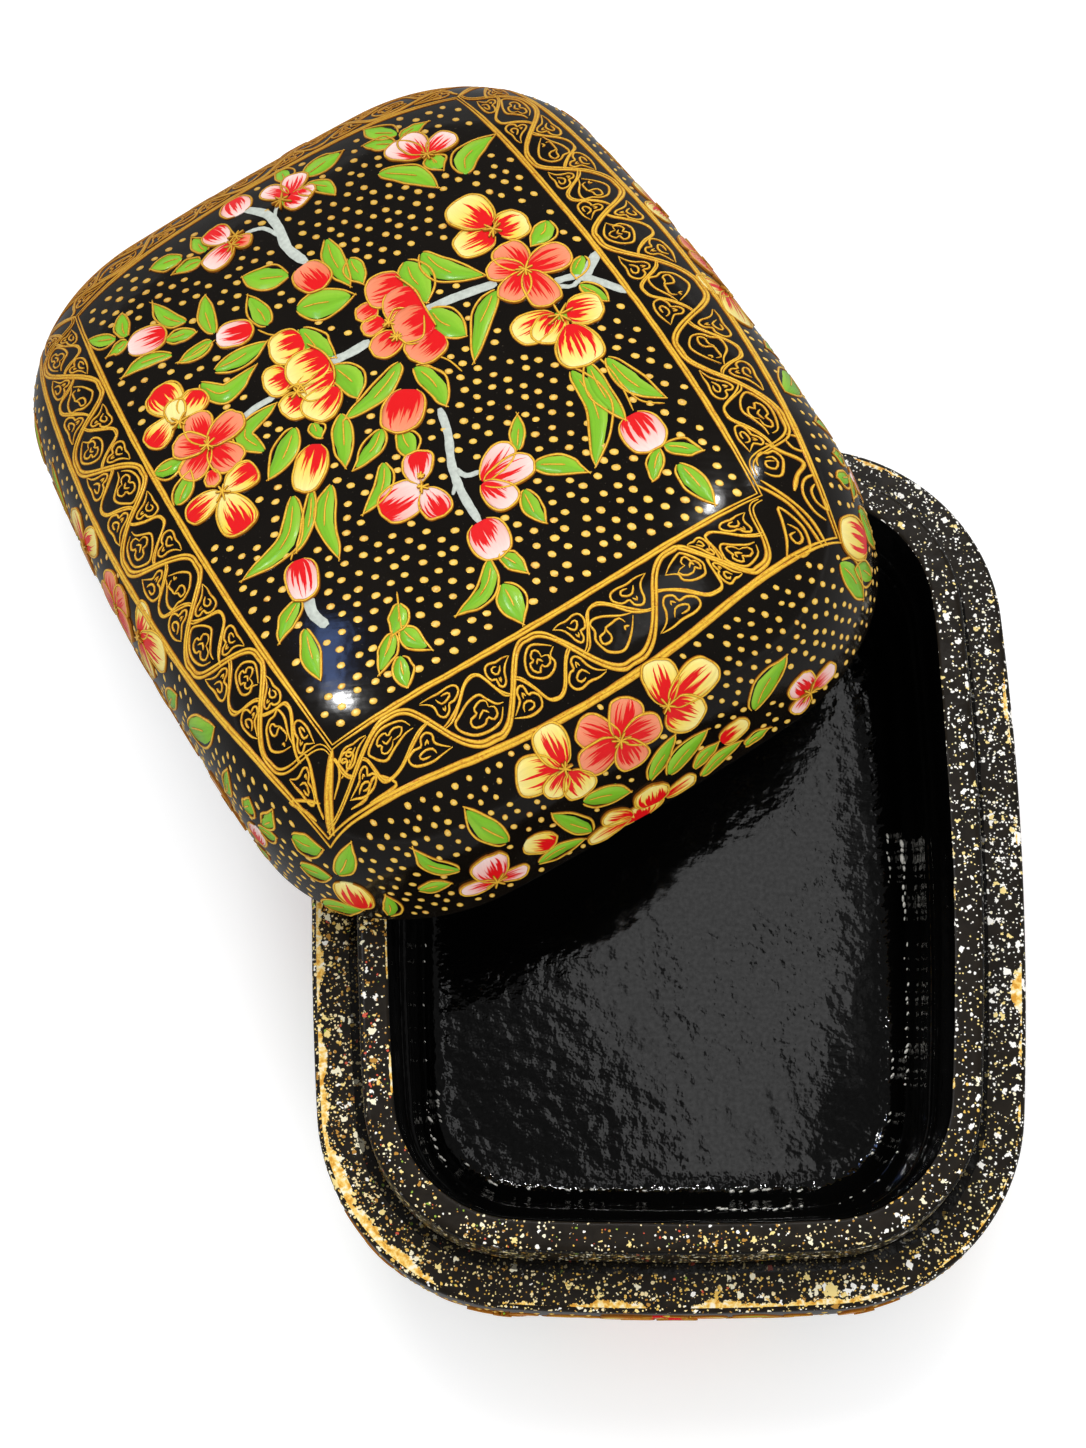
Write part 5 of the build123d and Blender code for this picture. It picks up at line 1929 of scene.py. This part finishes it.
class PAPIERMACHE_OT_lid_garland(bpy.types.Operator):
    """Garlands and dots round the sides of the lid"""
    bl_idname = "papier_mache.paint_lid_sides"
    bl_label = "Paint Lid Sides"

    def execute(self, context):
        sizes, pose, colours = settings(context)
        pillow = lid_pillow(sizes)
        paint_garlands(pillow, "lid_side", lid_place(pose), "lid", colours, 211, OUTER_RAIL)
        return {"FINISHED"}


class PAPIERMACHE_OT_base_garland(bpy.types.Operator):
    """Garlands and dots round the outside of the base"""
    bl_idname = "papier_mache.paint_base_sides"
    bl_label = "Paint Base Sides"

    def execute(self, context):
        sizes, _, colours = settings(context)
        pillow = base_pillow(sizes)
        paint_garlands(pillow, "base_side", base_place(sizes), "base", colours, 307, None)
        return {"FINISHED"}


def paint_garlands(pillow, prefix, place, body, colours, seed, rail):
    """Four garlands, then dots over what they leave free, up to the rail."""
    group = Decoration(prefix, seed)
    perimeter = pillow.outline.walk[0][-1]
    filled = []
    drop = 0.0 if rail else 2.8
    end = (END_LEAVES, END_PETALS, END_BUDS, END_MIDDLES)
    side = (SIDE_LEAVES, SIDE_PETALS, SIDE_BUDS, SIDE_MIDDLES)
    far_end = (END_LEAVES[:12], END_PETALS, END_BUDS[:2], END_MIDDLES)
    # how far round the rim from +X its middle is, which way it runs, and what it is drawn from
    for round_rim, mirror, tables in (
        (0.75, 1, end), (0.0, -1, side), (0.25, -1, far_end), (0.5, 1, side),
    ):
        middle = perimeter * round_rim

        def canvas(x, y, lift, middle=middle, mirror=mirror):
            return pillow.on_side(middle + mirror * x, y + drop, lift)

        group.filled = []
        group.draw(canvas, *tables)
        filled += [(middle + mirror * x, y + drop, reach) for x, y, reach in group.filled]
    group.finish(place, body, colours)
    dots = Paint(prefix + "_dots", seed + 40)
    long, wide, pitch, row_pitch = SIDE_DOTS

    # the lid's dots end at its rail, and the base's where it turns under
    lowest, highest = (1.2, math.inf) if rail else (3.2, 27.0)

    def free(s, t):
        if not lowest <= t <= highest:
            return False
        if rail:
            point = pillow.on_side(s, t, 0)
            if point.z > 14 and inside_rail(rail, point.x, point.y, -1.3):
                return False
        for x, y, reach in filled:
            apart = abs((s - x + perimeter / 2) % perimeter - perimeter / 2)
            if math.hypot(apart, t - y) < reach + 0.1:
                return False
        return True

    def shape(s, t):
        size = dots.random.uniform(0.85, 1.1)
        return long * size, wide * size, math.radians(-60) + dots.random.uniform(-0.4, 0.4)

    columns = round(perimeter / pitch)
    scatter_dots(
        dots, pillow.on_side, free, (0, 16), (0, columns), perimeter / columns, row_pitch, shape
    )
    dots.finish(place, body, "gold_paint", paint_finishes(colours)["gold"])


class PAPIERMACHE_PT_panel(bpy.types.Panel):
    """Make and paint the box"""
    bl_label = "Painted Papier-mache Box"
    bl_idname = "PAPIERMACHE_PT_panel"
    bl_space_type = "VIEW_3D"
    bl_region_type = "UI"
    bl_category = "Papier-mache"

    def draw(self, context):
        for step in STEPS:
            self.layout.operator(step.bl_idname)
        for group in settings(context):
            box = self.layout.box()
            for name in group.__annotations__:
                box.prop(group, name)


STEPS = (
    PAPIERMACHE_OT_stage,
    PAPIERMACHE_OT_base,
    PAPIERMACHE_OT_collar,
    PAPIERMACHE_OT_lid,
    PAPIERMACHE_OT_border,
    PAPIERMACHE_OT_panel_flowers,
    PAPIERMACHE_OT_lid_garland,
    PAPIERMACHE_OT_base_garland,
)
CLASSES = (BoxSizes, LidPose, PaintColours, *STEPS, PAPIERMACHE_PT_panel)


def register():
    for item in CLASSES:
        bpy.utils.register_class(item)
    bpy.types.Scene.papier_mache_sizes = bpy.props.PointerProperty(type=BoxSizes)
    bpy.types.Scene.papier_mache_pose = bpy.props.PointerProperty(type=LidPose)
    bpy.types.Scene.papier_mache_paints = bpy.props.PointerProperty(type=PaintColours)


def unregister():
    del bpy.types.Scene.papier_mache_paints
    del bpy.types.Scene.papier_mache_pose
    del bpy.types.Scene.papier_mache_sizes
    for item in reversed(CLASSES):
        bpy.utils.unregister_class(item)


def main():
    register()
    bpy.ops.papier_mache.make_stage()
    bpy.ops.papier_mache.make_base()
    bpy.ops.papier_mache.make_collar()
    bpy.ops.papier_mache.make_lid()
    bpy.ops.papier_mache.paint_border()
    bpy.ops.papier_mache.paint_panel()
    bpy.ops.papier_mache.paint_lid_sides()
    bpy.ops.papier_mache.paint_base_sides()


if __name__ == "__main__":
    main()
